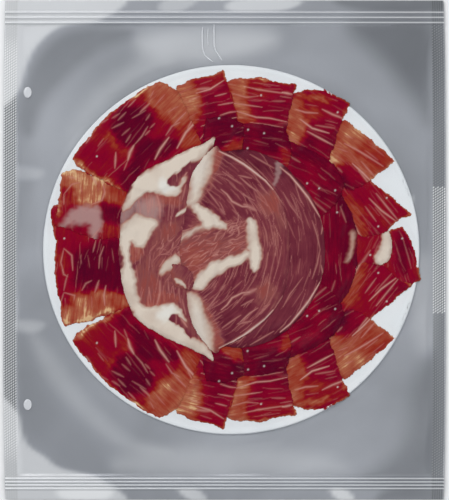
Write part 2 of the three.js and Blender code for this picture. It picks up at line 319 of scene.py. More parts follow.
def line_cover(points, line, half_width, taper=True):
    """How strongly a soft line covers each point, 0 to 1. A tapered line thins to its ends."""
    line = np.array(line, float)
    near = near_points(points, line, 3 * half_width)
    cover = np.zeros(len(points))
    if not near.any():
        return cover
    close = points[near]
    span = np.diff(line, axis=0)
    length = np.linalg.norm(span, axis=1)
    before = np.concatenate([[0], np.cumsum(length)])
    best, place = np.full(len(close), 1e9), np.zeros(len(close))
    for start, step, size, so_far in zip(line, span, length, before):
        along = np.clip(((close - start) * step).sum(1) / size ** 2, 0, 1)
        gap = np.linalg.norm(close - start - along[:, None] * step, axis=1)
        closer = gap < best
        best = np.where(closer, gap, best)
        place = np.where(closer, (so_far + along * size) / before[-1], place)
    width = half_width * (0.45 + 0.55 * np.sin(math.pi * place) if taper else 1)
    cover[near] = np.exp(-(best / width) ** 2)
    return cover


# Places read off the photograph, in its pixels, with Y down.
PHOTO_POUCH_WIDTH = 442
PHOTO_POUCH_MIDDLE = (224.5, 249.5)
PHOTO_PLATE_MIDDLE = (231.2, 249.2)
PIXEL = 2 * POUCH_HALF_WIDTH / PHOTO_POUCH_WIDTH


def read_off(places, middle):
    """Places in the photograph as mm about a middle, with Y up."""
    return (np.array(places, float) - middle) * [PIXEL, -PIXEL]


def pouch_half_width(y):
    return POUCH_HALF_WIDTH - EDGE_BOW * (y / POUCH_HALF_LENGTH) ** 4


# Painted reflection: patches painted lighter or darker into the satin sheet's colour where it
# throws back more or less of the room, and small painted glints. Outline in the photograph's pixels,
# softness in mm, and how much lighter or darker.
BACK_PAINTED_REFLECTIONS = [
    ([(-4, -4), (122, -4), (100, 20), (62, 26), (40, 42),
      (28, 62), (18, 92), (-4, 100)], 1.8, 0.64),
    ([(-4, 402), (16, 410), (23, 434), (30, 446), (45, 456),
      (60, 467), (100, 478), (122, 504), (-4, 504)], 1.8, 0.64),
    ([(19, 126), (20, 98), (32, 66), (46, 46), (70, 30),
      (112, 26), (132, 34), (96, 52), (66, 78), (44, 104),
      (32, 134)], 5, -0.36),
    ([(22, 366), (34, 376), (50, 398), (70, 420), (98, 446),
      (112, 474), (80, 474), (56, 456), (38, 440), (26, 424),
      (19, 400)], 5, -0.08),
    ([(150, 32), (260, 30), (275, 44), (235, 58), (180, 62), (140, 52)], 7, 0.38),
    ([(66, 142), (80, 108), (110, 78), (150, 58), (172, 64), (130, 86),
      (98, 118), (78, 148)], 6, 0.2),
    ([(30, 330), (60, 360), (90, 400), (130, 436), (170, 452),
      (120, 446), (76, 410), (46, 374)], 5, 0.2),
    ([(350, 24), (430, 24), (430, 118), (412, 100), (388, 66)], 9, -0.5),
    ([(420, 370), (432, 370), (432, 476), (366, 476), (400, 440)], 9, -0.42),
    ([(130, 452), (225, 446), (320, 454), (330, 472), (130, 472)], 7, 0.26),
    ([(410, 270), (432, 260), (432, 340), (418, 350)], 6, 0.22),
    ([(18, 140), (34, 150), (30, 230), (18, 240)], 6, -0.15),
    ([(236, 0), (300, 0), (282, 10), (230, 10)], 1.5, 0.6),
    ([(165, 0), (196, 0), (182, 10), (160, 10)], 1.5, 0.4),
    ([(330, 489), (346, 489), (354, 499), (338, 499)], 1.5, 0.7),
    ([(178, 489), (198, 489), (206, 499), (190, 499)], 1.5, 0.6),
    ([(60, 489), (110, 489), (104, 499), (66, 499)], 2, 0.3),
    ([(340, -2), (449, -2), (449, 10), (360, 10)], 3, -0.4),
    ([(390, 489), (449, 489), (449, 502), (380, 502)], 3, -0.4),
    ([(200, 489), (300, 489), (310, 500), (210, 500)], 3, -0.05),
    ([(404, 194), (413, 197), (411, 206), (403, 203)], 1.6, 0.5),
    ([(399, 299), (408, 295), (409, 302), (402, 304)], 1.6, 0.4),
    ([(18, 166), (42, 170), (38, 178), (18, 178)], 2.5, 0.3),
    ([(18, 320), (44, 322), (38, 331), (18, 330)], 2.5, 0.3),
]


def cockle(x, y):
    """Slow waves of a limp sheet, in mm."""
    return (0.3 * np.sin(x / 15 + 1.3 + 0.6 * np.sin(y / 31)) * np.sin(y / 19 + 0.4)
            + 0.25 * np.sin((x + 1.4 * y) / 17 + 2.1 + np.sin(x / 37))
            + 0.12 * np.sin((x - 0.8 * y) / 6.5 + np.sin(y / 13)))


def back_heights(x, y):
    """The laminate's upper side: sheet, welds, beads and knurl."""
    inset = pouch_half_width(y) - np.abs(x)
    end_inset = POUCH_HALF_LENGTH - np.abs(y)
    in_side = smoothstep(SIDE_WELD + 0.5, SIDE_WELD, inset)
    in_end = smoothstep(END_WELD + 0.5, END_WELD, end_inset)
    heights = SHEET + (WELD - SHEET) * np.maximum(in_side, in_end)
    under_plate = smoothstep(1.06, 0.98, np.hypot((x - PLATE_X) / PLATE_HALF[0],
                                                  (y - PLATE_Y) / PLATE_HALF[1]))
    heights += (0.5 * (cockle(x, y) + 0.7) * (1 - np.maximum(in_side, in_end))
                * (1 - under_plate))
    for middle in TOP_BEADS + BOTTOM_BEADS:
        off = (y - middle) / BEAD_HALF_WIDTH
        heights += BEAD_HEIGHT * np.where(np.abs(off) < 1, np.cos(off * math.pi / 2), 0)
    return heights


side = np.arange(13) * KNURL_PITCH[0] / 2
inner = POUCH_HALF_WIDTH - side[-1] - 1.6
across = np.concatenate([-POUCH_HALF_WIDTH + side, np.linspace(-inner, inner, 92),
                         POUCH_HALF_WIDTH - side[::-1]])
end = np.arange(0, END_WELD, 0.3)
middle_rows = 2 * round((POUCH_HALF_LENGTH - END_WELD) / KNURL_PITCH[1])
middle = (np.arange(-middle_rows, middle_rows + 1) / middle_rows
          * (POUCH_HALF_LENGTH - END_WELD))
along = np.concatenate([-POUCH_HALF_LENGTH + end, middle, POUCH_HALF_LENGTH - end[::-1]])
bm = bmesh.new()
bmesh.ops.create_grid(bm, x_segments=len(across) - 1, y_segments=len(along) - 1, size=1.0)
back_mesh = bpy.data.meshes.new("laminate_back")
bm.to_mesh(back_mesh)
bm.free()
unit = plan_points(back_mesh) * MM
column = np.rint((unit[:, 0] + 1) / 2 * (len(across) - 1)).astype(int)
row = np.rint((unit[:, 1] + 1) / 2 * (len(along) - 1)).astype(int)
y = along[row]
x = across[column] * pouch_half_width(y) / POUCH_HALF_WIDTH
from_side = np.minimum(column, len(across) - 1 - column)
in_band = (from_side >= 1) & (from_side <= 11)
on_dot = in_band & (from_side % 2 == 1) & ((row + from_side // 2) % 2 == 0)
# Scales the knurl dots in height and in their painted highlight: weaker towards the ends, and faint on the
# right side as painted shade away from the key light, but for a stretch in the middle.
faint = np.where(x > 0, 0.18, 1.0) * smoothstep(END_WELD - 1, END_WELD + 24,
                                               POUCH_HALF_LENGTH - np.abs(y))
faint = np.maximum(faint, 0.18)
faint = np.where((x > 0) & (np.abs(y) < 36), 0.8, faint)
dot = np.where(on_dot, faint, 0)
z = back_heights(x, y) + KNURL_HEIGHT * dot
set_points(back_mesh, np.stack([x, y, z], 1))
# Painted reflection: the patches above are summed at each vertex, for the colour to read.
painted_reflection = np.zeros(len(x))
for area, softness, change in BACK_PAINTED_REFLECTIONS:
    painted_reflection += change * area_cover(np.stack([x, y], 1), read_off(area, PHOTO_POUCH_MIDDLE),
                                   softness)
set_attribute(back_mesh, "painted_reflection", painted_reflection)
set_attribute(back_mesh, "weld", np.where(in_band, np.where(x > 0, 0.8, 1.0), 0.0))
# Painted light on the end welds' beads: painted highlight along each bead's top, painted shade along its
# flanks.
bead_painted_light = np.zeros(len(x))
for middle in TOP_BEADS + BOTTOM_BEADS:
    off = np.abs(y - middle) / BEAD_HALF_WIDTH
    bead_painted_light += np.exp(-(off / 0.6) ** 2) - 0.6 * np.exp(-((off - 1.25) / 0.4) ** 2)
set_attribute(back_mesh, "bead_painted_light", bead_painted_light)
set_attribute(back_mesh, "dot", dot)
back_mesh.polygons.foreach_set("use_smooth", np.ones(len(back_mesh.polygons), dtype=bool))


def mixed(tree, factor, under, over):
    """The colour under with over laid on it by the factor."""
    return add(tree, "ShaderNodeMix", {"Factor": factor, "A": under, "B": over},
               data_type="RGBA").outputs["Result"]


laminate, tree, shader = new_material("metallised_laminate")
place = add(tree, "ShaderNodeTexCoord").outputs["Object"]
haze = add(tree, "ShaderNodeTexNoise", {"Vector": place, "Scale": 9.0, "Detail": 3.0,
                                        "Roughness": 0.45, "Distortion": 0.6})
tone = ramp(tree, haze.outputs["Fac"], [
    (0.28, linear("#a9acb1")), (0.5, linear("#bdc0c6")), (0.75, linear("#d3d6dc"))])
read = {name: add(tree, "ShaderNodeAttribute", attribute_name=name).outputs["Fac"]
        for name in ("painted_reflection", "weld", "dot", "bead_painted_light")}
# Painted reflection in the colour: lightened towards near white, darkened towards dark grey.
light = add(tree, "ShaderNodeClamp", {"Value": read["painted_reflection"]}).outputs["Result"]
painted_dark_reflection = add(tree, "ShaderNodeMapRange", {"Value": read["painted_reflection"], "From Min": 0.0,
                                        "From Max": -1.0}).outputs["Result"]
tone = mixed(tree, read["weld"], tone, linear("#8b8e92"))
tone = mixed(tree, light, tone, linear("#f2f3f3"))
tone = mixed(tree, painted_dark_reflection, tone, linear("#55585c"))
# Painted highlight: the knurl's raised dots are painted near white.
knurl_painted_highlight = add(tree, "ShaderNodeMapRange", {"Value": read["dot"], "From Min": 0.05,
                                         "From Max": 0.4}).outputs["Result"]
tone = mixed(tree, knurl_painted_highlight, tone, linear("#fafbfb"))
# Painted highlight on the bead tops and painted shade beside them.
bead_painted_highlight = add(tree, "ShaderNodeMapRange", {"Value": read["bead_painted_light"], "To Max": 0.85})
bead_painted_shade = add(tree, "ShaderNodeMapRange", {"Value": read["bead_painted_light"], "From Max": -1.0,
                                          "To Max": 0.6})
tone = mixed(tree, bead_painted_highlight.outputs["Result"], tone, linear("#f0f1f2"))
tone = mixed(tree, bead_painted_shade.outputs["Result"], tone, linear("#66696d"))
tree.links.new(tone, shader.inputs["Base Color"])
# Less metallic where the painted reflection is lighter, so that its painted white shows.
painted_reflection_metallic = add(tree, "ShaderNodeMapRange", {"Value": read["painted_reflection"], "To Min": 0.7,
                                         "To Max": 0.15}).outputs["Result"]
tree.links.new(painted_reflection_metallic, shader.inputs["Metallic"])
shader.inputs["Roughness"].default_value = 0.34
grain = add(tree, "ShaderNodeTexNoise", {"Vector": place, "Scale": 160.0, "Detail": 4.0})
bump = add(tree, "ShaderNodeBump", {"Height": grain.outputs["Fac"], "Strength": 0.12,
                                    "Distance": 0.0005})
tree.links.new(bump.outputs["Normal"], shader.inputs["Normal"])

back = new_object("laminate_back", back_mesh, laminate)
solid = back.modifiers.new("sheet", "SOLIDIFY")
solid.thickness = SHEET * MM
solid.offset = -1
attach(back, "root")
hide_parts("back_sheet")

heights = back_heights(map_x, map_y)


# ---- Plate: a stiff white board with a rounded edge, which carries the slices ----
# Coated food board, matt white, cut round. Its middle is a little right of the pouch's.

PLATE_TOP = plate_high.z
RIM_WIDTH = 1.6
RIM_RISE = 0.25

bm = bmesh.new()
edge_profile = [(0.0, PLATE_TOP), (1 - 2.4 * RIM_WIDTH / PLATE_HALF[0], PLATE_TOP),
                (1 - 1.2 * RIM_WIDTH / PLATE_HALF[0], PLATE_TOP + RIM_RISE),
                (1 - 0.4 * RIM_WIDTH / PLATE_HALF[0], PLATE_TOP + RIM_RISE),
                (1.0, PLATE_TOP - 0.35), (1.0, plate_low.z + 0.2), (0.995, plate_low.z),
                (0.0, plate_low.z)]
verts = [bm.verts.new((radius, 0, z)) for radius, z in edge_profile]
edges = [bm.edges.new(pair) for pair in zip(verts, verts[1:])]
bmesh.ops.spin(bm, geom=verts + edges, axis=(0, 0, 1), cent=(0, 0, 0), angle=2 * math.pi,
               steps=192, use_merge=True)
bmesh.ops.remove_doubles(bm, verts=bm.verts, dist=1e-5)
for vert in bm.verts:
    vert.co.x = (vert.co.x * PLATE_HALF[0] + PLATE_X) * MM
    vert.co.y = (vert.co.y * PLATE_HALF[1] + PLATE_Y) * MM
    vert.co.z *= MM
bmesh.ops.recalc_face_normals(bm, faces=bm.faces)
plate_mesh = bpy.data.meshes.new("plate_board")
bm.to_mesh(plate_mesh)
bm.free()
for polygon in plate_mesh.polygons:
    polygon.use_smooth = abs(polygon.normal.z) < 0.99

board, tree, shader = new_material("coated_white_board")
place = add(tree, "ShaderNodeTexCoord").outputs["Object"]
mottle = add(tree, "ShaderNodeTexNoise", {"Vector": place, "Scale": 30.0, "Detail": 2.0})
tree.links.new(ramp(tree, mottle.outputs["Fac"], [(0.3, linear("#dee2e4")),
                                                  (0.7, linear("#e7eaeb"))]),
               shader.inputs["Base Color"])
shader.inputs["Roughness"].default_value = 0.45
plate = new_object("plate_board", plate_mesh, board)
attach(plate, "root")
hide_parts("plate")

plate_radius = np.hypot((map_x - PLATE_X) / PLATE_HALF[0], (map_y - PLATE_Y) / PLATE_HALF[1])
heights = np.where(plate_radius <= 1.0, np.maximum(heights, PLATE_TOP), heights)


# ---- Ham slices: thin hand-cut iberico ham, fanned round the plate, a rose in the middle ----
# Each slice keeps the plan of its solid, with a ragged cut edge. The cured meat is
# translucent: orange where it lies thin over the plate, crimson, then dark where deeper.

SLICE = 0.8
LAYER_GAP = 0.06
RIM = (0.12, 2.6)               # share of the thickness at a slice's rim, and how far it runs in
STEP = 0.45


def node_outline(name):
    """The rim of a CAD sheet in plan, in mm, in order round it, counter-clockwise."""
    work = bmesh.new()
    work.from_mesh(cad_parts[name].data)
    bmesh.ops.remove_doubles(work, verts=work.verts, dist=1e-6)
    work.normal_update()
    walls = [f for f in work.faces if abs(f.normal.z) < 0.2]
    wall_set = set(walls)
    following = {}
    for face in walls:
        for edge in face.edges:
            others = [f for f in edge.link_faces if f not in wall_set]
            if others and others[0].normal.z > 0:
                for vert in edge.verts:
                    following.setdefault(vert, []).append(edge.other_vert(vert))
    start = min(following, key=lambda v: (v.co.x, v.co.y))
    ring, last = [start], None
    while True:
        onward = next(v for v in following[ring[-1]] if v is not last)
        if onward is start:
            break
        last = ring[-1]
        ring.append(onward)
    outline = np.array([(v.co.x / MM, v.co.y / MM) for v in ring])
    work.free()
    onward = np.roll(outline, -1, axis=0)
    twice_area = np.sum(outline[:, 0] * onward[:, 1] - onward[:, 0] * outline[:, 1])
    return outline if twice_area > 0 else np.roll(outline[::-1], 1, axis=0)


def ragged(loop, depth, draw):
    """The loop with a torn, wavy edge of that depth."""
    forward = np.roll(loop, -1, axis=0) - np.roll(loop, 1, axis=0)
    normal = np.stack([forward[:, 1], -forward[:, 0]], 1)
    normal /= np.linalg.norm(normal, axis=1)[:, None]
    turn = np.linspace(0, 2 * math.pi, len(loop), endpoint=False)
    wave = np.zeros(len(loop))
    for cycles, share in ((9, 0.5), (17, 0.45), (31, 0.35), (53, 0.3), (83, 0.25)):
        cycles += draw.integers(-2, 3)
        wave += share * np.sin(cycles * turn + draw.uniform(0, 2 * math.pi))
    return loop + normal * (depth * wave)[:, None]


def cut_sheet(name, loop):
    """A fine flat mesh cut to the loop."""
    low, high = loop.min(0) - 1, loop.max(0) + 1
    counts = np.ceil((high - low) / STEP).astype(int)
    bm = bmesh.new()
    bmesh.ops.create_grid(bm, x_segments=int(counts[0]), y_segments=int(counts[1]), size=1.0)
    unit = np.array([v.co[:2] for v in bm.verts])
    plan = low + (unit + 1) / 2 * counts * STEP
    distance, nearest = loop_distance(plan, loop)
    snap = np.abs(distance) < STEP / 2
    plan[snap] = nearest[snap]
    verts = list(bm.verts)
    for vert, place in zip(verts, plan):
        vert.co = (place[0] * MM, place[1] * MM, 0)
    outside = [v for v, d, s in zip(verts, distance, snap) if d > 0 and not s]
    bmesh.ops.delete(bm, geom=outside, context="VERTS")
    bmesh.ops.delete(bm, geom=[v for v in bm.verts if not v.link_faces], context="VERTS")
    mesh = bpy.data.meshes.new(name)
    bm.to_mesh(mesh)
    bm.free()
    return mesh


# Fat that shows as broad pale areas: outline in the photograph's pixels, edge softness in
# mm, whether its twin lies across the middle line, and its strength.
FAT_AREAS = {
    "rose_left": [
        ([(216, 138), (200, 144.5), (176, 154.5), (153, 167.5), (143, 173), (134.5, 180.5),
          (132, 188), (125, 200.5), (122, 210), (126, 209), (133, 203.5), (141, 197),
          (146, 192), (159, 193.5), (173, 196), (179, 192), (182, 185), (188, 174),
          (189.5, 164.5), (200, 158), (212, 148)], 1.3, True, 1.0),
        ([(125, 224), (136, 214), (150, 218), (158, 222), (152, 232), (148, 240),
          (143.5, 246), (136, 246), (131.5, 240.5), (129.5, 250), (130, 260), (134.5, 276),
          (137, 291), (141, 300), (131, 306), (127, 298), (121.5, 287),
          (120.7, 275), (124, 261), (120, 250), (119, 238), (120, 231)], 1.6, False, 1.0),
        ([(175, 254), (182, 260), (173, 266), (165, 273), (159.5, 271),
          (166, 262)], 1.4, False, 1.0),
        ([(176, 215), (180, 211), (186, 208.5), (190, 206), (186, 211),
          (180, 215)], 0.8, False, 1.0),
    ],
    "rose_right": [
        ([(214, 142), (203, 150), (190.5, 163), (189, 173), (189.5, 184), (188, 197),
          (186.5, 204), (191, 206), (196, 203), (200.5, 197), (204.5, 187),
          (209, 176), (212, 164), (213.5, 152)], 2.6, True, 1.0),
        ([(191, 205), (196.5, 203.5), (209.5, 211), (220, 218.5), (227.5, 226), (215, 227),
          (205, 228), (201.5, 222), (197, 215)], 1.4, False, 1.0),
        ([(206, 223), (207, 228), (194, 233), (184, 239), (176, 246), (173, 244), (182, 235),
          (194, 228)], 2.2, False, 0.7),
        ([(247.5, 219.5), (256, 222), (257.5, 232), (258.5, 240), (262, 253), (261, 263), (254, 271),
          (250, 262), (248.5, 251), (248, 236)], 1.5, False, 1.0),
        ([(247, 250.5), (249, 257), (233, 265), (217, 274), (208, 282), (201.5, 289),
          (193, 286), (200, 274), (209, 264.5), (228, 257)], 1.4, False, 1.0),
    ],
    "wedge": [
        ([(384, 229), (391, 229), (392.5, 240), (391, 255), (387, 262), (381, 265),
          (375, 258), (380, 243)], 1.2, False, 1.0),
        ([(350, 232), (356.5, 233), (354, 247), (349, 260), (345.5, 260), (349, 245)], 1.4, False, 0.45),
    ],
    "fan_4": [([(349.5, 230.5), (356, 231.5), (355, 247.5), (348, 261.5), (345, 261.5),
      (348, 245)], 1.4, False,
               0.45)],
    "mid_right": [([(349.5, 230.5), (356, 231.5), (355, 247.5), (348, 261.5), (345, 261.5), (348, 245)], 1.4,
                   False, 0.45)],
    "curl": [([(174, 277), (179, 279), (186.5, 286), (184, 287),
               (176, 282)], 0.8, False, 1.0)],
}

# Lean gaps in that fat, mirrored too.
LEAN_GAPS = {"rose_left": [[(-23, 50), (-22.5, 44), (-27, 40.5), (-31, 36), (-35, 37),
                            (-35.5, 40), (-32, 42.5), (-28.5, 44), (-26, 47)]]}

# The whitest lobes of the fat, mirrored too, and how white.
WHITE_LOBES = {
    "rose_left": [([(-41, 39), (-36, 40), (-32, 38), (-31, 33), (-38, 32.5), (-41, 35)], 0.75)],
    "rose_right": [([(-20, 50), (-14, 52), (-16, 40), (-20, 32), (-22, 34)], 0.3)],
}

# A translucent sheet of fat that tints the meat, on left_upper and rose_left. On round and mid_0 the
# pale strip is a painted highlight instead, where a crease in the film over them catches the light.
FAT_VEIL_AND_PAINTED_HIGHLIGHT_AREAS = {
    "left_upper": [
        ([(-95.5, 13.5), (-92.5, 20.5), (-84.5, 24.5), (-76, 23.5), (-73, 17.5),
          (-75.5, 8.5), (-77.5, 5), (-80.5, 8.5), (-80, 14.5), (-86, 14)], 2.4, 0.68)],
    "round": [([(27, 57), (29.5, 57), (28.5, 46), (26.5, 37), (24, 37), (25, 46)], 1.2, 0.5)],
    "mid_0": [([(27, 58), (29.5, 58), (29, 50), (26, 50)], 1.0, 0.6)],
    "rose_left": [
        ([(-54, 27), (-46, 30), (-41, 28), (-40.5, 20), (-43, 14), (-52, 17), (-55, 22)],
         3.5, 0.6),
        ([(-63, 22), (-58, 26), (-54, 24), (-58, 17), (-63, 14)], 2.5, 0.55)],
}

# Lowest first: the slice, the grain of its meat in degrees, the number of fine streaks of
# fat drawn by rule, and the depth of its ragged edge in mm.
SLICES = [
    ("right_tip", -70, 24, 0.4), ("left_lower", 82, 30, 0.5), ("wedge", 62, 26, 0.3),
    ("left_upper", 86, 20, 0.5), ("fan_4", -50, 30, 0.4), ("fan_3", -36, 30, 0.5),
    ("fan_2", -27, 34, 0.55), ("fan_1", -8, 32, 0.45), ("fan_left", 46, 44, 0.7),
    ("fan_top", 14, 26, 0.4), ("mid_right", 88, 16, 0.3), ("mid_2", -35, 16, 0.3),
    ("mid_1", -12, 14, 0.3), ("mid_0", 12, 12, 0.3), ("round", None, 160, 0.2),
    ("rose_left", 88, 150, 0.3), ("rose_right", None, 320, 0.25), ("curl", 60, 6, 0.3),
]
ROSE = ("round", "rose_left", "rose_right", "curl")
FAT_BLUR = 1.45                 # fat runs into the meat over this much more than its edge
GRAIN_CENTRE = np.array([-31.8, 0.0])      # the rose's arcs of grain turn about here
CORE = [(-33, 8), (-20, 16), (-6, 16), (9, 17), (11, 5), (10, -3), (-8, -12), (-21, -22),
        (-32, -22), (-42, -12), (-46, 2)]
CORE_GRAIN = {"rose_left": 55, "rose_right": 24}
CORE_STREAKS = 150              # a network of paler streaks across the core

# Depth of meat: 0 is pale tan, 0.15 thin and orange, 0.5 crimson and 1 very dark. Areas and
# lines: places in the photograph's pixels, softness or half width in mm, and depth.
TONE_AREAS = {
    "fan_left": [
        ([(148, 88), (160, 80), (172, 85), (180, 90), (190, 98), (200, 108),
          (202, 120), (192, 124), (180, 130), (170, 124), (160, 116), (152, 108),
          (146, 98)], 3.2, 0.14),
        ([(106, 130), (116, 137), (127, 147), (131, 154), (126, 157),
          (116, 149), (108, 142), (103, 136)], 2.4, 0.36),
        ([(112, 124), (124, 108), (140, 104), (150, 112), (152, 126),
          (142, 142), (126, 146), (116, 136)], 3, 0.9),
        ([(140, 140), (160, 138), (176, 142), (172, 152), (150, 166), (134, 176),
          (128, 170), (134, 155)], 3, 0.85),
        ([(182, 128), (200, 128), (206, 138), (196, 146), (182, 148)], 3, 0.3),
        ([(120, 170), (134, 176), (130, 196), (118, 190)], 3, 0.75),
    ],
    "left_upper": [
        ([(58, 170), (76, 166), (92, 172), (112, 180), (118, 190), (114, 200),
          (100, 205), (84, 204), (76, 200), (74, 188), (60, 186)], 2.2, 0.13),
        ([(110, 180), (126, 194), (124, 210), (108, 203)], 2.5, 0.3),
        ([(96, 226), (126, 224), (126, 242), (98, 240)], 3, 0.45),
        ([(44, 196), (57, 198), (60, 212), (52, 218), (44, 214)], 1.6, 0.08),
        ([(102, 203), (122, 207), (124, 222), (104, 222)], 2.5, 0.85),
    ],
    "left_lower": [
        ([(84, 248), (126, 242), (126, 290), (96, 288), (74, 284),
          (72, 262)], 5, 0.9),
        ([(72, 296), (90, 291), (108, 291), (122, 295), (122, 304),
          (112, 312), (98, 318), (80, 322), (64, 322), (60, 310),
          (70, 306)], 2.6, 0.14),
        ([(112, 293), (126, 296), (126, 308), (114, 306)], 2.2, 0.28),
    ],
    "fan_top": [
        ([(170, 84), (188, 78), (196, 84), (200, 96), (201, 110),
          (198, 122), (196, 132), (184, 140), (176, 128), (170, 108)], 3.2, 0.14),
        ([(203, 124), (218, 122), (222, 134), (208, 142)], 2.2, 0.33),
        ([(220, 119), (240, 118), (242, 152), (222, 152)], 2, 0.85),
    ],
    "fan_1": [
        ([(226, 76), (246, 78), (248, 95), (249, 112), (246, 122), (238, 122),
          (232, 104)], 2.6, 0.13),
        ([(238, 118), (256, 121), (254, 132), (242, 130)], 2.2, 0.3),
        ([(246, 126), (290, 128), (288, 152), (246, 152)], 2.2, 0.85),
    ],
    "fan_2": [
        ([(286, 100), (298, 97), (306, 106), (310, 118), (306, 130), (303, 143),
          (293, 148), (286, 138)], 2.6, 0.16),
        ([(300, 108), (318, 109), (322, 116), (306, 119)], 2.2, 0.38),
        ([(305, 140), (330, 138), (340, 165), (318, 175), (300, 160)], 3, 0.72),
        ([(300, 166), (345, 172), (350, 205), (318, 205)], 3, 0.95),
    ],
    "fan_3": [
        ([(338, 118), (352, 120), (372, 132), (390, 144), (400, 158), (388, 168),
          (376, 176), (372, 184), (360, 172), (350, 163), (338, 166), (324, 164),
          (328, 150), (336, 134)], 2.8, 0.2),
        ([(330, 152), (342, 125), (352, 128), (346, 150), (336, 165), (327, 163)], 2.4, 0.12),
        ([(326, 178), (346, 176), (346, 206), (324, 206)], 3, 0.95),
        ([(356, 148), (374, 142), (390, 156), (376, 170), (364, 164)], 3.5, 0.32),
    ],
    "fan_4": [
        ([(341, 196), (354, 197), (362, 210), (366, 228), (372, 244), (360, 246),
          (346, 228), (339, 214)], 2.8, 0.28),
    ],
    "right_tip": [
        ([(396, 232), (408, 234), (412, 262), (404, 275), (394, 262)], 3, 0.7),
    ],
    "mid_0": [
        ([(216, 152), (236, 139), (248, 138), (252, 152), (242, 157), (226, 156)], 1.8, 0.3),
    ],
    "mid_1": [
        ([(280, 148), (297, 150), (297, 163), (284, 167)], 2.4, 0.36),
    ],
}
TONE_LINES = {
    # Painted shadow: the dark lines beside the arcs of rose_right and round stand for the shade under the
    # edge of the slice lying over them.
    "rose_right": [
        ([(228, 152), (244, 161), (258, 171), (268, 180), (276, 189)], 0.5, 0.95),
        ([(228, 348), (244, 339), (258, 329), (268, 320), (276, 311)], 0.5, 0.95),
    ],
    "round": [
        ([(288, 170), (303, 186), (312, 198), (319, 210), (324, 218)], 0.5, 0.95),
        ([(288, 330), (303, 314), (312, 302), (319, 290), (324, 282)], 0.5, 0.95),
    ],
    "fan_left": [
        ([(76, 160), (84, 169), (98, 177), (112, 182), (124, 194)], 1.5, 0.12),
        ([(92, 131), (104, 119), (116, 107), (126, 99), (140, 91),
          (152, 86), (163, 81)], 1.4, 0.06),
    ],
    "left_upper": [
        ([(60, 172), (76, 168), (92, 173), (106, 180)], 1.4, 0),
    ],
    "left_lower": [
        ([(60, 318), (72, 324), (86, 320), (98, 315), (112, 309)], 1.6, 0),
    ],
    "fan_top": [
        ([(224, 72), (230, 95), (238, 118)], 0.6, 0.3),
    ],
    "fan_1": [
        ([(246, 79), (258, 77), (270, 79)], 1, 0.18),
        ([(295, 83), (297, 96)], 0.7, 0.2),
    ],
    "fan_2": [
        ([(296, 94), (306, 97), (318, 97), (328, 101)], 1.6, 0.22),
        ([(344, 108), (346, 116), (340, 130)], 0.8, 0.3),
    ],
    "fan_3": [
        ([(352, 122), (372, 133), (388, 143), (398, 158), (376, 176), (372, 183)], 0.7, 0.04),
    ],
    "fan_4": [
        ([(410, 206), (412, 214), (400, 222), (392, 229)], 1.4, 0.1),
        ([(343, 220), (356, 236), (367, 250)], 0.9, 0.06),
    ],
}
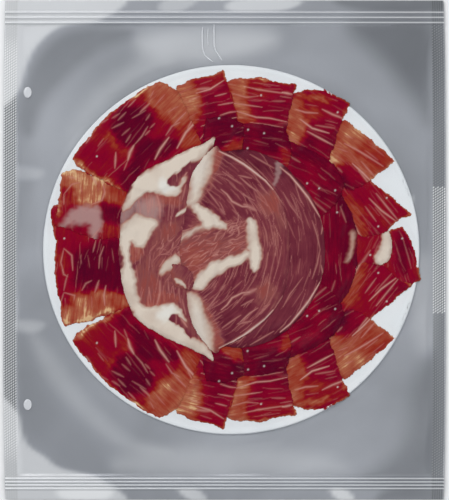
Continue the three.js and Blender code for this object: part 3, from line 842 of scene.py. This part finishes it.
# Broad streaks of fat: places in the photograph's pixels, half width in mm, and strength.
STREAKS = {
    "fan_top": [
        ([(196, 93), (210, 89), (224, 80)], 0.5, 0.8),
        ([(197, 89), (212, 88)], 0.9, 0.6),
        ([(215, 96), (227, 93)], 0.4, 0.7),
        ([(218, 105), (229, 103), (236, 102)], 0.4, 0.7),
        ([(220, 115), (230, 112), (239, 111)], 0.4, 0.7),
        ([(201, 126), (215, 122), (237, 117)], 0.4, 0.8),
        ([(200, 139), (206, 132), (218, 129)], 0.45, 0.7),
        ([(214, 138), (228, 136)], 0.4, 0.5),
        ([(190, 99), (200, 96)], 0.4, 0.5),
        ([(200, 84), (212, 80)], 0.35, 0.4),
        ([(205, 104), (198, 107)], 0.35, 0.4),
    ],
    "fan_1": [
        ([(243, 86), (262, 90), (291, 94)], 0.45, 0.7),
        ([(255, 89), (264, 90)], 0.6, 0.7),
        ([(282, 92), (292, 94)], 0.7, 0.8),
        ([(232, 93), (246, 97), (258, 96)], 0.4, 0.6),
        ([(234, 103), (262, 107)], 0.4, 0.7),
        ([(234, 110), (256, 117), (270, 118), (288, 122)], 0.45, 0.8),
        ([(250, 122), (270, 125), (283, 127)], 0.4, 0.6),
        ([(248, 100), (262, 101)], 0.3, 0.35),
        ([(272, 101), (285, 101)], 0.5, 0.45),
        ([(252, 82), (280, 86)], 0.3, 0.4),
        ([(280, 96), (292, 98)], 0.35, 0.5),
    ],
    "fan_2": [
        ([(295, 109), (305, 112), (318, 113)], 0.55, 0.7),
        ([(322, 109), (332, 114), (345, 119)], 0.6, 0.75),
        ([(300, 119), (312, 128), (329, 133)], 0.55, 0.85),
        ([(307, 131), (318, 137), (333, 145)], 0.55, 0.8),
        ([(285, 145), (298, 152), (313, 160), (324, 166), (334, 173)], 0.7, 0.95),
        ([(284, 144), (292, 149)], 1.1, 0.9),
        ([(325, 162), (330, 168)], 0.9, 0.8),
        ([(315, 125), (335, 128)], 0.5, 0.5),
        ([(325, 120), (337, 123)], 0.3, 0.4),
        ([(284, 168), (292, 176)], 0.5, 0.5),
        ([(305, 104), (318, 106)], 0.3, 0.4),
    ],
    "fan_3": [
        ([(344, 143), (354, 148), (366, 155), (383, 166)], 0.55, 0.7),
        ([(352, 163), (362, 172), (372, 182)], 0.6, 0.85),
        ([(358, 170), (368, 182), (378, 184)], 0.5, 0.7),
        ([(361, 161), (368, 169), (376, 178)], 0.5, 0.6),
        ([(338, 148), (348, 152)], 0.4, 0.5),
        ([(345, 135), (352, 138)], 0.4, 0.5),
        ([(337, 167), (342, 172)], 0.5, 0.5),
        ([(365, 150), (378, 160)], 0.4, 0.5),
        ([(372, 146), (384, 156)], 0.35, 0.4),
    ],
    "fan_4": [
        ([(369, 198), (381, 210), (396, 221)], 0.55, 0.8),
        ([(376, 193), (388, 208), (398, 220)], 0.5, 0.7),
        ([(365, 206), (376, 221)], 0.45, 0.6),
        ([(343, 206), (352, 222), (362, 238)], 0.8, 0.7),
        ([(352, 228), (366, 244)], 0.8, 0.7),
        ([(375, 207), (392, 226)], 0.4, 0.5),
        ([(341, 214), (348, 228)], 0.6, 0.6),
    ],
    "fan_left": [
        ([(177, 148), (186, 132), (199, 118)], 0.75, 0.8),
        ([(186, 132), (192, 120)], 0.5, 0.6),
        ([(155, 159), (160, 149), (169, 137)], 0.75, 0.8),
        ([(166, 135), (172, 126), (180, 122)], 0.5, 0.6),
        ([(174, 124), (186, 112)], 0.5, 0.6),
        ([(128, 160), (130, 152), (134, 145)], 0.9, 0.8),
        ([(134, 145), (142, 136), (148, 126)], 0.45, 0.6),
        ([(115, 168), (116, 152)], 0.6, 0.7),
        ([(124, 170), (128, 160)], 0.4, 0.5),
        ([(140, 112), (150, 103)], 0.6, 0.6),
        ([(118, 120), (126, 112)], 0.5, 0.5),
        ([(112, 128), (124, 122)], 0.5, 0.5),
        ([(126, 142), (131, 134)], 0.5, 0.5),
        ([(122, 135), (130, 128)], 0.5, 0.45),
        ([(132, 118), (146, 110)], 0.4, 0.5),
        ([(98, 146), (104, 138)], 0.4, 0.45),
        ([(86, 143), (91, 136)], 0.5, 0.6),
        ([(146, 120), (150, 114)], 0.5, 0.5),
        ([(150, 128), (155, 123)], 0.4, 0.5),
        ([(145, 135), (150, 130)], 0.5, 0.5),
        ([(150, 98), (154, 90)], 0.4, 0.5),
        ([(156, 104), (165, 94)], 0.4, 0.5),
        ([(128, 107), (136, 99)], 0.4, 0.6),
        ([(112, 118), (120, 113)], 0.5, 0.5),
        ([(98, 124), (108, 119)], 0.5, 0.5),
        ([(168, 112), (178, 106)], 0.4, 0.45),
    ],
    "left_upper": [
        ([(64, 194), (72, 184), (80, 182)], 0.45, 0.55),
        ([(64, 194), (64, 204)], 0.45, 0.6),
        ([(103, 182), (105, 192), (102, 200), (92, 204)], 0.55, 0.6),
        ([(92, 176), (97, 184)], 0.6, 0.6),
        ([(100, 228), (90, 240), (94, 250)], 0.45, 0.6),
        ([(62, 238), (70, 236), (69, 241)], 0.5, 0.6),
        ([(80, 184), (82, 192)], 0.35, 0.5),
        ([(68, 176), (76, 178)], 0.5, 0.5),
        ([(104, 222), (100, 232)], 0.35, 0.4),
    ],
    "left_lower": [
        ([(64, 248), (72, 255), (73, 270)], 0.5, 0.65),
        ([(64, 248), (61, 262), (64, 272)], 0.45, 0.6),
        ([(104, 246), (100, 256), (99, 268)], 0.45, 0.6),
        ([(96, 240), (93, 252)], 0.4, 0.6),
        ([(64, 290), (66, 280), (68, 274)], 0.45, 0.55),
        ([(64, 292), (75, 295), (74, 300)], 0.45, 0.6),
        ([(64, 292), (61, 302)], 0.4, 0.55),
        ([(82, 290), (86, 283), (92, 280)], 0.5, 0.55),
        ([(95, 292), (99, 280)], 0.6, 0.6),
        ([(105, 305), (104, 295), (106, 285)], 0.55, 0.7),
        ([(62, 268), (64, 274), (68, 276)], 0.5, 0.6),
        ([(80, 252), (82, 264)], 0.3, 0.4),
        ([(88, 255), (90, 268)], 0.3, 0.35),
        ([(112, 248), (114, 262)], 0.3, 0.4),
        ([(86, 300), (84, 308)], 0.35, 0.45),
        ([(92, 296), (92, 308)], 0.3, 0.4),
    ],
    "wedge": [
        ([(370, 250), (362, 262), (352, 272)], 0.8, 0.5),
        ([(374, 262), (366, 274)], 0.7, 0.45),
        ([(384, 275), (374, 286)], 0.5, 0.4),
    ],
    "right_tip": [
        ([(403, 240), (408, 256), (411, 268)], 0.4, 0.45),
        ([(396, 246), (401, 262)], 0.35, 0.35),
    ],
    "mid_right": [
        ([(340, 206), (346, 222)], 0.5, 0.5),
        ([(335, 280), (331, 292)], 0.5, 0.4),
    ],
    "mid_0": [
        ([(222, 142), (232, 140)], 0.3, 0.3),
    ],
    "mid_1": [
        ([(254, 140), (268, 144)], 0.35, 0.3),
    ],
    "rose_right": [
        ([(219, 151), (232, 157), (244, 164), (256, 173), (265, 180), (273, 189)], 0.8, 1),
        ([(238, 160), (250, 168), (266, 181)], 0.75, 0.9),
        ([(273, 188), (278, 196), (284, 205)], 0.4, 0.6),
        ([(222, 171), (232, 178), (241, 184)], 0.45, 0.6),
        ([(238, 175), (252, 178)], 0.5, 0.6),
        ([(240, 177), (250, 186), (258, 191)], 0.45, 0.7),
        ([(221, 189), (227, 194), (232, 201), (242, 206), (250, 207)], 0.6, 0.8),
        ([(244, 204), (256, 210)], 1.3, 0.6),
        ([(241, 193), (254, 200)], 0.45, 0.6),
        ([(207, 190), (215, 200), (220, 207)], 0.45, 0.6),
        ([(211, 176), (222, 184)], 0.4, 0.5),
        ([(232, 209), (242, 218)], 0.4, 0.5),
        ([(262, 221), (266, 232), (268, 247)], 0.4, 0.5),
        ([(268, 214), (272, 232), (276, 250)], 0.35, 0.45),
        ([(220, 208), (225, 214)], 0.9, 0.5),
        ([(258, 184), (270, 195)], 0.4, 0.5),
        ([(210, 182), (216, 188)], 0.4, 0.5),
    ],
    "round": [
        ([(280, 167), (290, 175), (300, 187), (308, 197), (314, 207), (320, 217)], 0.65, 0.95),
        ([(304, 192), (310, 200)], 0.9, 0.8),
        ([(320, 216), (323, 224), (321, 234)], 0.5, 0.7),
        ([(312, 220), (317, 235), (320, 250)], 0.45, 0.6),
        ([(250, 154), (262, 161), (274, 168)], 0.45, 0.6),
        ([(283, 192), (290, 205), (298, 215)], 0.4, 0.6),
        ([(290, 205), (303, 222)], 0.35, 0.5),
        ([(280, 215), (284, 224), (281, 238)], 0.5, 0.6),
        ([(298, 225), (300, 240)], 0.4, 0.4),
        ([(281, 190), (296, 210)], 0.3, 0.4),
        ([(292, 192), (304, 210)], 0.3, 0.4),
        ([(303, 210), (310, 228)], 0.35, 0.4),
    ],
    "rose_left": [
        ([(157, 194), (160, 206), (160, 218)], 0.7, 0.6),
        ([(151, 196), (149, 212)], 0.5, 0.5),
        ([(170, 200), (168, 220)], 0.35, 0.5),
        ([(175, 198), (173, 216)], 0.3, 0.5),
        ([(180, 196), (179, 212)], 0.35, 0.5),
        ([(164, 198), (163, 214)], 0.3, 0.4),
        ([(186, 184), (182, 200)], 0.5, 0.5),
        ([(187, 172), (179, 184)], 0.7, 0.7),
        ([(158, 268), (159, 296)], 0.6, 0),
    ],
    "mid_2": [
        ([(300, 190), (318, 205), (330, 215)], 0.6, 0.45),
        ([(290, 156), (300, 162)], 0.5, 0.5),
    ],
}
# White specks of salt and protein, in the photograph's pixels.
CRYSTALS = [(219, 118), (232, 126), (248, 129.5), (247.5, 148), (261, 95), (337.5, 112),
            (386.5, 197.5), (402, 238), (370, 254.5), (378, 226), (307, 183), (319, 188),
            (64.5, 238), (97, 156), (264, 133), (337, 212), (335, 190)]
# The same for the rose, in mm about the plate's centre.
ROSE_TONES = {"rose_right": [
    ([(15, 33), (22, 35), (27, 30), (27, 20), (20, 16), (16, 22)], 5.0, 0.33),
    ([(14, -30), (22, -33), (26, -28), (26, -18), (20, -15), (15, -20)], 5.0, 0.35),
    ([(-10, 58), (-4, 55), (-8, 42), (-15, 30), (-21, 26), (-17, 30), (-12, 40)], 2.0, 0.3),
    ([(-10, -58), (-4, -55), (-8, -42), (-15, -30), (-21, -26), (-17, -30), (-12, -40)],
     2.0, 0.3),
    ([(16, 14), (40, 16), (40, -14), (18, -14)], 5.0, 0.5),
    (CORE, 3.0, 0.4),
    ([(-34, 0), (-24, 4), (-16, 2), (-18, -8), (-26, -12), (-32, -10)], 4.0, 0.3)], "rose_left": [
    ([(-50, 32), (-40, 33), (-32, 31), (-30, 26), (-38, 24), (-48, 24)], 2.2, 0.26),
    ([(-50, -31), (-40, -33), (-32, -31), (-31, -26), (-40, -24), (-52, -24)], 2.2, 0.26),
    ([(-57, -12), (-52, -8), (-44, -12), (-43, -28), (-50, -30), (-56, -24)], 2.5, 0.33),
    ([(-57, 5), (-52, 5), (-50, -2), (-52, -6), (-57, -6)], 1.5, 0.24),
    ([(-44, 14), (-30, 18), (-26, 4), (-36, -12), (-48, -8)], 5.0, 0.42)]}


# How much deeper than its layers a slice's meat is.
DEEPER = {"mid_right": 0.25, "mid_2": 0.15, "mid_1": 0.15, "mid_0": 0.1, "left_upper": -0.1,
          "round": 0.12, "curl": -0.2}


def grain_angle(base, grain, points):
    """The direction of the meat's grain at each point, in radians."""
    if grain is None:
        offset = points - GRAIN_CENTRE
        angle = np.arctan2(-offset[:, 0], offset[:, 1])
    else:
        angle = np.full(len(points), math.radians(grain))
    if base in CORE_GRAIN:
        core = loop_distance(points, np.array(CORE, float))[0] < 0
        angle = np.where(core, math.radians(CORE_GRAIN[base]), angle)
    return angle


def grain_places(base, grain, points):
    """Each point's place along and across the grain, in mm."""
    if grain is None:
        offset = points - GRAIN_CENTRE
        along = np.arctan2(offset[:, 1], offset[:, 0]) * 60
        aside = np.linalg.norm(offset, axis=1)
    else:
        turned = math.radians(grain)
        along = points[:, 0] * math.cos(turned) + points[:, 1] * math.sin(turned)
        aside = points[:, 1] * math.cos(turned) - points[:, 0] * math.sin(turned)
    if base in CORE_GRAIN:
        turned = math.radians(CORE_GRAIN[base])
        core = loop_distance(points, np.array(CORE, float))[0] < 0
        along = np.where(core, points[:, 0] * math.cos(turned)
                         + points[:, 1] * math.sin(turned), along)
        aside = np.where(core, points[:, 1] * math.cos(turned)
                         - points[:, 0] * math.sin(turned), aside)
    return along, aside


def fine_streaks(base, grain, loop, count):
    """Fine marbling by rule: thin lines that follow the grain inside the loop."""
    draw = np.random.default_rng(sum(map(ord, base)) * 31)
    starts = draw.uniform(loop.min(0), loop.max(0), (count * 4, 2))
    inside = loop_distance(starts, loop)[0] < -1.0
    longer = 1.25 if base in ROSE else 1.0
    lines = []
    for start in starts[inside][:count]:
        lean, way = draw.normal(0, 0.12), draw.choice([-1, 1])
        length = draw.gamma(2.2, 3.6) * longer + 1.5
        steps = max(2, int(length / 1.5))
        line = [start]
        for _ in range(steps):
            heading = grain_angle(base, grain, line[-1][None])[0] + lean + draw.normal(0, 0.1)
            line.append(line[-1] + way * length / steps
                        * np.array([math.cos(heading), math.sin(heading)]))
        strongest = 0.62 if base in ROSE else 0.42
        lines.append((line, draw.uniform(0.24, 0.36), draw.uniform(0.08, strongest)))
    if base in CORE_GRAIN:
        core = np.array(CORE, float)
        starts = draw.uniform(core.min(0), core.max(0), (CORE_STREAKS * 4, 2))
        starts = starts[loop_distance(starts, core)[0] < -1.5]
        for start in starts[:CORE_STREAKS]:
            heading = math.radians(CORE_GRAIN[base] + draw.normal(0, 20))
            bend = draw.normal(0, 0.25)
            reach = draw.uniform(2.5, 6.5)
            line = [start + reach * t * np.array([math.cos(heading + bend * t),
                                                  math.sin(heading + bend * t)])
                    for t in (0, 0.5, 1)]
            lines.append((line, draw.uniform(0.28, 0.5), draw.uniform(0.35, 0.75)))
    return lines


# Lean meat over the white plate by depth, and the paler muscle of the rose.
LEAN_COLOURS = [(0.0, "#d9b184"), (0.08, "#b16c4d"), (0.16, "#a2503b"), (0.3, "#963020"),
                (0.42, "#8a0c1e"), (0.55, "#880026"), (0.8, "#680022"), (1.0, "#560022")]
ROSE_COLOURS = [(0.0, "#b78a80"), (0.2, "#a0584c"), (0.3, "#924641"), (0.4, "#8b4c4a"),
                (0.55, "#76313d"), (0.8, "#601c2e"), (1.0, "#4d1426")]

ham, tree, shader = new_material("cured_iberico_ham")
place = add(tree, "ShaderNodeTexCoord").outputs["Object"]
along_grain = add(tree, "ShaderNodeUVMap", uv_map="grain").outputs["UV"]
read = {name: add(tree, "ShaderNodeAttribute", attribute_name=name).outputs["Fac"]
        for name in ("tone", "fat", "streak", "rose", "veil_and_painted_highlight", "crystal")}
cloud = add(tree, "ShaderNodeTexNoise", {"Vector": place, "Scale": 85.0, "Detail": 4.0})
shift = add(tree, "ShaderNodeMapRange", {"Value": cloud.outputs["Fac"], "From Min": 0.3,
                                         "From Max": 0.7, "To Min": -0.11, "To Max": 0.11})
depth = add(tree, "ShaderNodeMath", {0: read["tone"], 1: shift.outputs["Result"]},
            operation="ADD").outputs[0]
fibres = add(tree, "ShaderNodeTexNoise", {"Vector": along_grain, "Scale": 1.0,
                                          "Detail": 5.0, "Roughness": 0.62})
fibre_shift = add(tree, "ShaderNodeMapRange", {
    "Value": fibres.outputs["Fac"], "From Min": 0.3, "From Max": 0.7, "To Min": 0.1,
    "To Max": -0.1})
depth = add(tree, "ShaderNodeMath", {0: depth, 1: fibre_shift.outputs["Result"]},
            operation="ADD").outputs[0]
lean = ramp(tree, depth, [(at, linear(colour)) for at, colour in LEAN_COLOURS])
muscle = ramp(tree, depth, [(at, linear(colour)) for at, colour in ROSE_COLOURS])
meat = mixed(tree, read["rose"], lean, muscle)
pale = add(tree, "ShaderNodeMapRange", {"Value": fibres.outputs["Fac"], "From Min": 0.64,
                                        "From Max": 0.86, "To Max": 0.35})
meat = mixed(tree, pale.outputs["Result"], meat, linear("#b06a62"))
# Pale tint: fat veil on some slices, painted highlight of a film crease on round and mid_0.
meat = mixed(tree, read["veil_and_painted_highlight"], meat, linear("#b89c96"))
seam = ramp(tree, read["streak"], [(0.0, linear("#b0605c")), (0.6, linear("#c68b80")),
                                   (0.8, linear("#cf9f92")), (1.0, linear("#d3bdb6"))])
meat = mixed(tree, read["streak"], meat, seam)
fringe = add(tree, "ShaderNodeMapRange", {"Value": read["fat"], "From Min": 0.08,
                                          "From Max": 0.5})
fat_cloud = add(tree, "ShaderNodeTexNoise", {"Vector": place, "Scale": 45.0, "Detail": 4.0})
fat_shift = add(tree, "ShaderNodeMapRange", {"Value": fat_cloud.outputs["Fac"],
                                             "From Min": 0.3, "From Max": 0.7,
                                             "To Min": -0.2, "To Max": 0.16})
fat_depth = add(tree, "ShaderNodeMath", {0: read["fat"], 1: fat_shift.outputs["Result"]},
                operation="ADD").outputs[0]
fatty = ramp(tree, fat_depth, [
    (0.1, linear("#a06052")), (0.35, linear("#b78c7c")), (0.6, linear("#c1aa9c")),
    (0.85, linear("#ccbbac")), (1.0, linear("#d9ccbd"))])
meat = mixed(tree, fringe.outputs["Result"], meat, fatty)
meat = mixed(tree, read["crystal"], meat, linear("#e4e3dc"))
tree.links.new(meat, shader.inputs["Base Color"])
shader.inputs["Roughness"].default_value = 0.4
shader.inputs["Specular IOR Level"].default_value = 0.04
bump = add(tree, "ShaderNodeBump", {"Height": fibres.outputs["Fac"], "Strength": 0.2,
                                    "Distance": 0.0003})
tree.links.new(bump.outputs["Normal"], shader.inputs["Normal"])

layer_count = np.zeros_like(heights)
plate_centre = np.array([PLATE_X, PLATE_Y])

for base, grain, streaks, raggedness in SLICES:
    halves = ["_top", "_bottom"] if f"slice_{base}_top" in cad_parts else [""]
    for half in halves:
        name = f"slice_{base}{half}"
        flip = np.array([1, -1 if half == "_bottom" else 1])
        loop = (smooth_loop(node_outline(name), 0.7) - plate_centre) * flip
        loop = np.roll(loop, -loop[:, 0].argmin(), axis=0)
        if flip[1] < 0:
            loop = np.roll(loop[::-1], 1, axis=0)
        loop = ragged(loop, raggedness, np.random.default_rng(sum(map(ord, base))))
        mesh = cut_sheet(f"ham_{base}{half}", loop * flip + plate_centre)
        points = plan_points(mesh)
        plan = (points[:, :2] - plate_centre) * flip
        x, y = points[:, 0], points[:, 1]
        rim = -loop_distance(plan, loop)[0]

        inside_map = np.zeros_like(heights)
        near = ((map_x > x.min() - 1) & (map_x < x.max() + 1)
                & (map_y > y.min() - 1) & (map_y < y.max() + 1))
        cells = (np.stack([map_x[near], map_y[near]], 1) - plate_centre) * flip
        cell_rim = -loop_distance(cells, loop)[0]
        inside_map[near] = cell_rim >= 0
        top = np.zeros_like(heights)
        top[near] = SLICE * (RIM[0] + (1 - RIM[0]) * smoothstep(0, RIM[1], cell_rim))
        rest = np.maximum(blurred(widened(heights, 0.5), 0.8), widened(heights, 0.5))
        rest += LAYER_GAP
        under = sampled(blurred(layer_count, 0.9), x, y)
        edge = RIM[0] + (1 - RIM[0]) * smoothstep(0, RIM[1], rim)
        points[:, 2] = sampled(rest, x, y) + SLICE * edge
        set_points(mesh, points)
        heights = np.where(inside_map > 0, np.maximum(heights, rest + top), heights)
        layer_count = layer_count + inside_map

        loose = wandered(plan, 0.9, 5)
        tone = 0.5 + 0.12 * np.clip(under, 0, 3) + DEEPER.get(base, 0)
        areas = [(read_off(area, PHOTO_PLATE_MIDDLE), softness, depth_here)
                 for area, softness, depth_here in TONE_AREAS.get(base, [])]
        for area, softness, depth_here in areas + ROSE_TONES.get(base, []):
            cover = area_cover(loose, area, softness)
            tone = tone * (1 - cover) + depth_here * cover
        # Tone lines: pale rims, and on rose_right and round dark lines of painted shadow.
        for line, half_width, depth_here in TONE_LINES.get(base, []):
            cover = line_cover(loose, read_off(line, PHOTO_PLATE_MIDDLE), half_width,
                               taper=False)
            tone = tone * (1 - cover) + depth_here * cover
        if base not in ROSE:
            thin_edge = smoothstep(1.5, 0.1, rim) * np.clip(1 - under, 0, 1)
            tone = tone * (1 - 0.75 * thin_edge) + 0.12 * 0.75 * thin_edge
        soft_edge = wandered(plan, 0.6, 9)
        fat = np.zeros(len(plan))
        for area, softness, twin, strength in FAT_AREAS.get(base, []):
            for mirror in ([1, -1] if twin else [1]):
                area_here = read_off(area, PHOTO_PLATE_MIDDLE) * [1, mirror]
                fat = np.maximum(fat, strength * area_cover(soft_edge, area_here,
                                                            FAT_BLUR * softness))
        for gap in LEAN_GAPS.get(base, []):
            for mirror in (1, -1):
                fat *= 1 - area_cover(soft_edge, np.array(gap, float) * [1, mirror], 0.9)
        veil_and_painted_highlight = np.zeros(len(plan))
        for area, softness, strength in FAT_VEIL_AND_PAINTED_HIGHLIGHT_AREAS.get(base, []):
            veil_and_painted_highlight = np.maximum(veil_and_painted_highlight, strength * area_cover(loose, area, softness))
        streak = np.zeros(len(plan))
        for line, half_width, strength in STREAKS.get(base, []):
            for mirror in ([1, -1] if base in ROSE else [1]):
                line_here = read_off(line, PHOTO_PLATE_MIDDLE) * [1, mirror]
                streak = np.maximum(streak, strength * line_cover(plan, line_here,
                                                                  half_width * 1.15))
        for line, half_width, strength in fine_streaks(base, grain, loop, streaks):
            streak = np.maximum(streak, strength * line_cover(plan, line, half_width))
        crystal = np.zeros(len(plan))
        for spot in read_off(CRYSTALS, PHOTO_PLATE_MIDDLE):
            away = np.linalg.norm(plan - spot, axis=1)
            crystal = np.maximum(crystal, 0.6 * smoothstep(0.8, 0.2, away))
        for area, strength in WHITE_LOBES.get(base, []):
            for mirror in (1, -1):
                area_here = np.array(area, float) * [1, mirror]
                crystal = np.maximum(crystal, strength * fat
                                     * area_cover(loose, area_here, 2.5))
        for label, values in (("tone", tone), ("fat", fat), ("veil_and_painted_highlight", veil_and_painted_highlight),
                              ("streak", streak), ("crystal", crystal),
                              ("rose", np.full(len(plan), float(base in ROSE)))):
            set_attribute(mesh, label, values)
        along, aside = grain_places(base, grain, plan)
        grain_map = mesh.uv_layers.new(name="grain")
        corner_vertex = np.empty(len(mesh.loops), dtype=np.int32)
        mesh.loops.foreach_get("vertex_index", corner_vertex)
        uv = np.stack([along / 14, aside / 1.5], 1)[corner_vertex]
        grain_map.data.foreach_set("uv", uv.astype(np.float32).ravel())
        mesh.polygons.foreach_set("use_smooth", np.ones(len(mesh.polygons), dtype=bool))

        piece = new_object(f"ham_{base}{half}", mesh, ham)
        thickness = piece.vertex_groups.new(name="thickness")
        for level in np.unique(np.round(edge, 2)):
            picked = np.nonzero(np.round(edge, 2) == level)[0].tolist()
            thickness.add(picked, float(level), "REPLACE")
        solid = piece.modifiers.new("slice", "SOLIDIFY")
        solid.thickness = SLICE * MM
        solid.offset = -1
        solid.vertex_group = "thickness"
        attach(piece, "root")
        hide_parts(name)


# ---- Clear front film: thermoformed down over the plate, welded to the back at its rim ----
# Co-extruded PA and PE, glossy and almost invisible from straight above. It bridges small
# steps and tents a little at the plate's edge.

FILM = 0.25
FILM_STEP = 1.3
film_low, film_high = (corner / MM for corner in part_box("front_film"))
film_size = (film_high.x - film_low.x, film_high.y - film_low.y)
film_segments = [int(length / FILM_STEP) for length in film_size]
bm = bmesh.new()
bmesh.ops.create_grid(bm, x_segments=film_segments[0], y_segments=film_segments[1], size=1.0)
film_mesh = bpy.data.meshes.new("clear_film")
bm.to_mesh(film_mesh)
bm.free()
points = plan_points(film_mesh) * MM
y = film_low.y + (points[:, 1] + 1) / 2 * film_size[1]
half_width = pouch_half_width(y) - SIDE_WELD - 0.8
x = points[:, 0] * half_width
draped = blurred(widened(heights, 2.0), 1.8)
draped = np.maximum(draped, widened(heights, 0.8)) + 0.25
edge = np.minimum(half_width - np.abs(x), (1 - np.abs(points[:, 1])) * film_size[1] / 2)
z = sampled(draped, x, y) + FILM
z = np.where(edge < 3, z * smoothstep(0, 3, edge) + 1.0 * (1 - smoothstep(0, 3, edge)), z)
set_points(film_mesh, np.stack([x, y, z], 1))
film_mesh.polygons.foreach_set("use_smooth", np.ones(len(film_mesh.polygons), dtype=bool))

clear, tree, shader = new_material("clear_film_pa_pe")
tree.nodes.remove(shader)
out = tree.nodes["Material Output"]
see_through = add(tree, "ShaderNodeBsdfTransparent", {"Color": (1, 1, 1, 1)})
gloss = add(tree, "ShaderNodeBsdfGlossy", {"Color": (1, 1, 1, 1), "Roughness": 0.12})
shine = add(tree, "ShaderNodeFresnel", {"IOR": 1.05})
film_mix = add(tree, "ShaderNodeMixShader", {0: shine.outputs[0], 1: see_through.outputs[0],
                                             2: gloss.outputs[0]})
tree.links.new(film_mix.outputs[0], out.inputs["Surface"])
film = new_object("clear_film", film_mesh, clear)
solid = film.modifiers.new("film", "SOLIDIFY")
solid.thickness = FILM * MM
solid.offset = -1
film.visible_shadow = False
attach(film, "root")
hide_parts("front_film")


# Where the film puckers between the end weld and the plate it stands in thin folds, and two
# small blisters lie beside the left weld. Both are film, coloured pale and half opaque as a painted
# highlight of the light they catch.
FOLDS = [
    ([(-12.5, 126), (-12.6, 120), (-12.4, 114), (-11.3, 110), (-6.4, 106)], 0.42),
    ([(-5.9, 127.5), (-5.9, 120), (-5.8, 115.5), (-4.8, 112.5), (-1.4, 107)], 0.42),
    ([(-9.3, 125.3), (-9.4, 120), (-9.2, 115.5)], 0.3),
]
BLISTERS = [(-111.3, 89.1), (-111.3, -87.4)]
BLISTER_SIZE = (2.3, 3.1, 0.5)

# Painted highlight: near white and partly opaque, for the light caught by the folds and blisters.
fold_painted_highlight, tree, shader = new_material("film_fold_painted_highlight")
shader.inputs["Base Color"].default_value = linear("#eceef1")
shader.inputs["Roughness"].default_value = 0.25
shader.inputs["Alpha"].default_value = 0.7
bm = bmesh.new()
for path, radius in FOLDS:
    path = np.array(path, float)
    steps = np.linspace(0, len(path) - 1, 40)
    route = np.stack([np.interp(steps, np.arange(len(path)), path[:, k]) for k in (0, 1)], 1)
    slope = np.gradient(route, axis=0)
    slope /= np.linalg.norm(slope, axis=1)[:, None]
    ground = sampled(draped, route[:, 0], route[:, 1]) + FILM
    rings = []
    for place, (dx, dy), z, step in zip(route, slope, ground, range(40)):
        width = radius * min(1, 0.3 + 0.2 * min(step, 39 - step))
        rings.append([bm.verts.new(((place[0] - dy * width * math.cos(turn)) * MM,
                                    (place[1] + dx * width * math.cos(turn)) * MM,
                                    (z + width * math.sin(turn)) * MM))
                      for turn in np.linspace(0, 2 * math.pi, 8, endpoint=False)])
    for low, high in zip(rings, rings[1:]):
        for i in range(8):
            bm.faces.new((low[i], low[i - 1], high[i - 1], high[i]))
    bm.faces.new(rings[0])
    bm.faces.new(rings[-1][::-1])
for place in BLISTERS:
    centre = np.array(place)
    base = sampled(draped, centre[:1], centre[1:])[0] + FILM
    made = bmesh.ops.create_uvsphere(bm, u_segments=24, v_segments=12, radius=1.0)
    for vert in made["verts"]:
        vert.co = ((place[0] + vert.co.x * BLISTER_SIZE[0]) * MM,
                   (place[1] + vert.co.y * BLISTER_SIZE[1]) * MM,
                   (base + vert.co.z * BLISTER_SIZE[2]) * MM)
bmesh.ops.recalc_face_normals(bm, faces=bm.faces)
fold_mesh = bpy.data.meshes.new("film_folds")
bm.to_mesh(fold_mesh)
bm.free()
fold_mesh.polygons.foreach_set("use_smooth", np.ones(len(fold_mesh.polygons), dtype=bool))
folds = new_object("film_folds", fold_mesh, fold_painted_highlight)
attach(folds, "root")
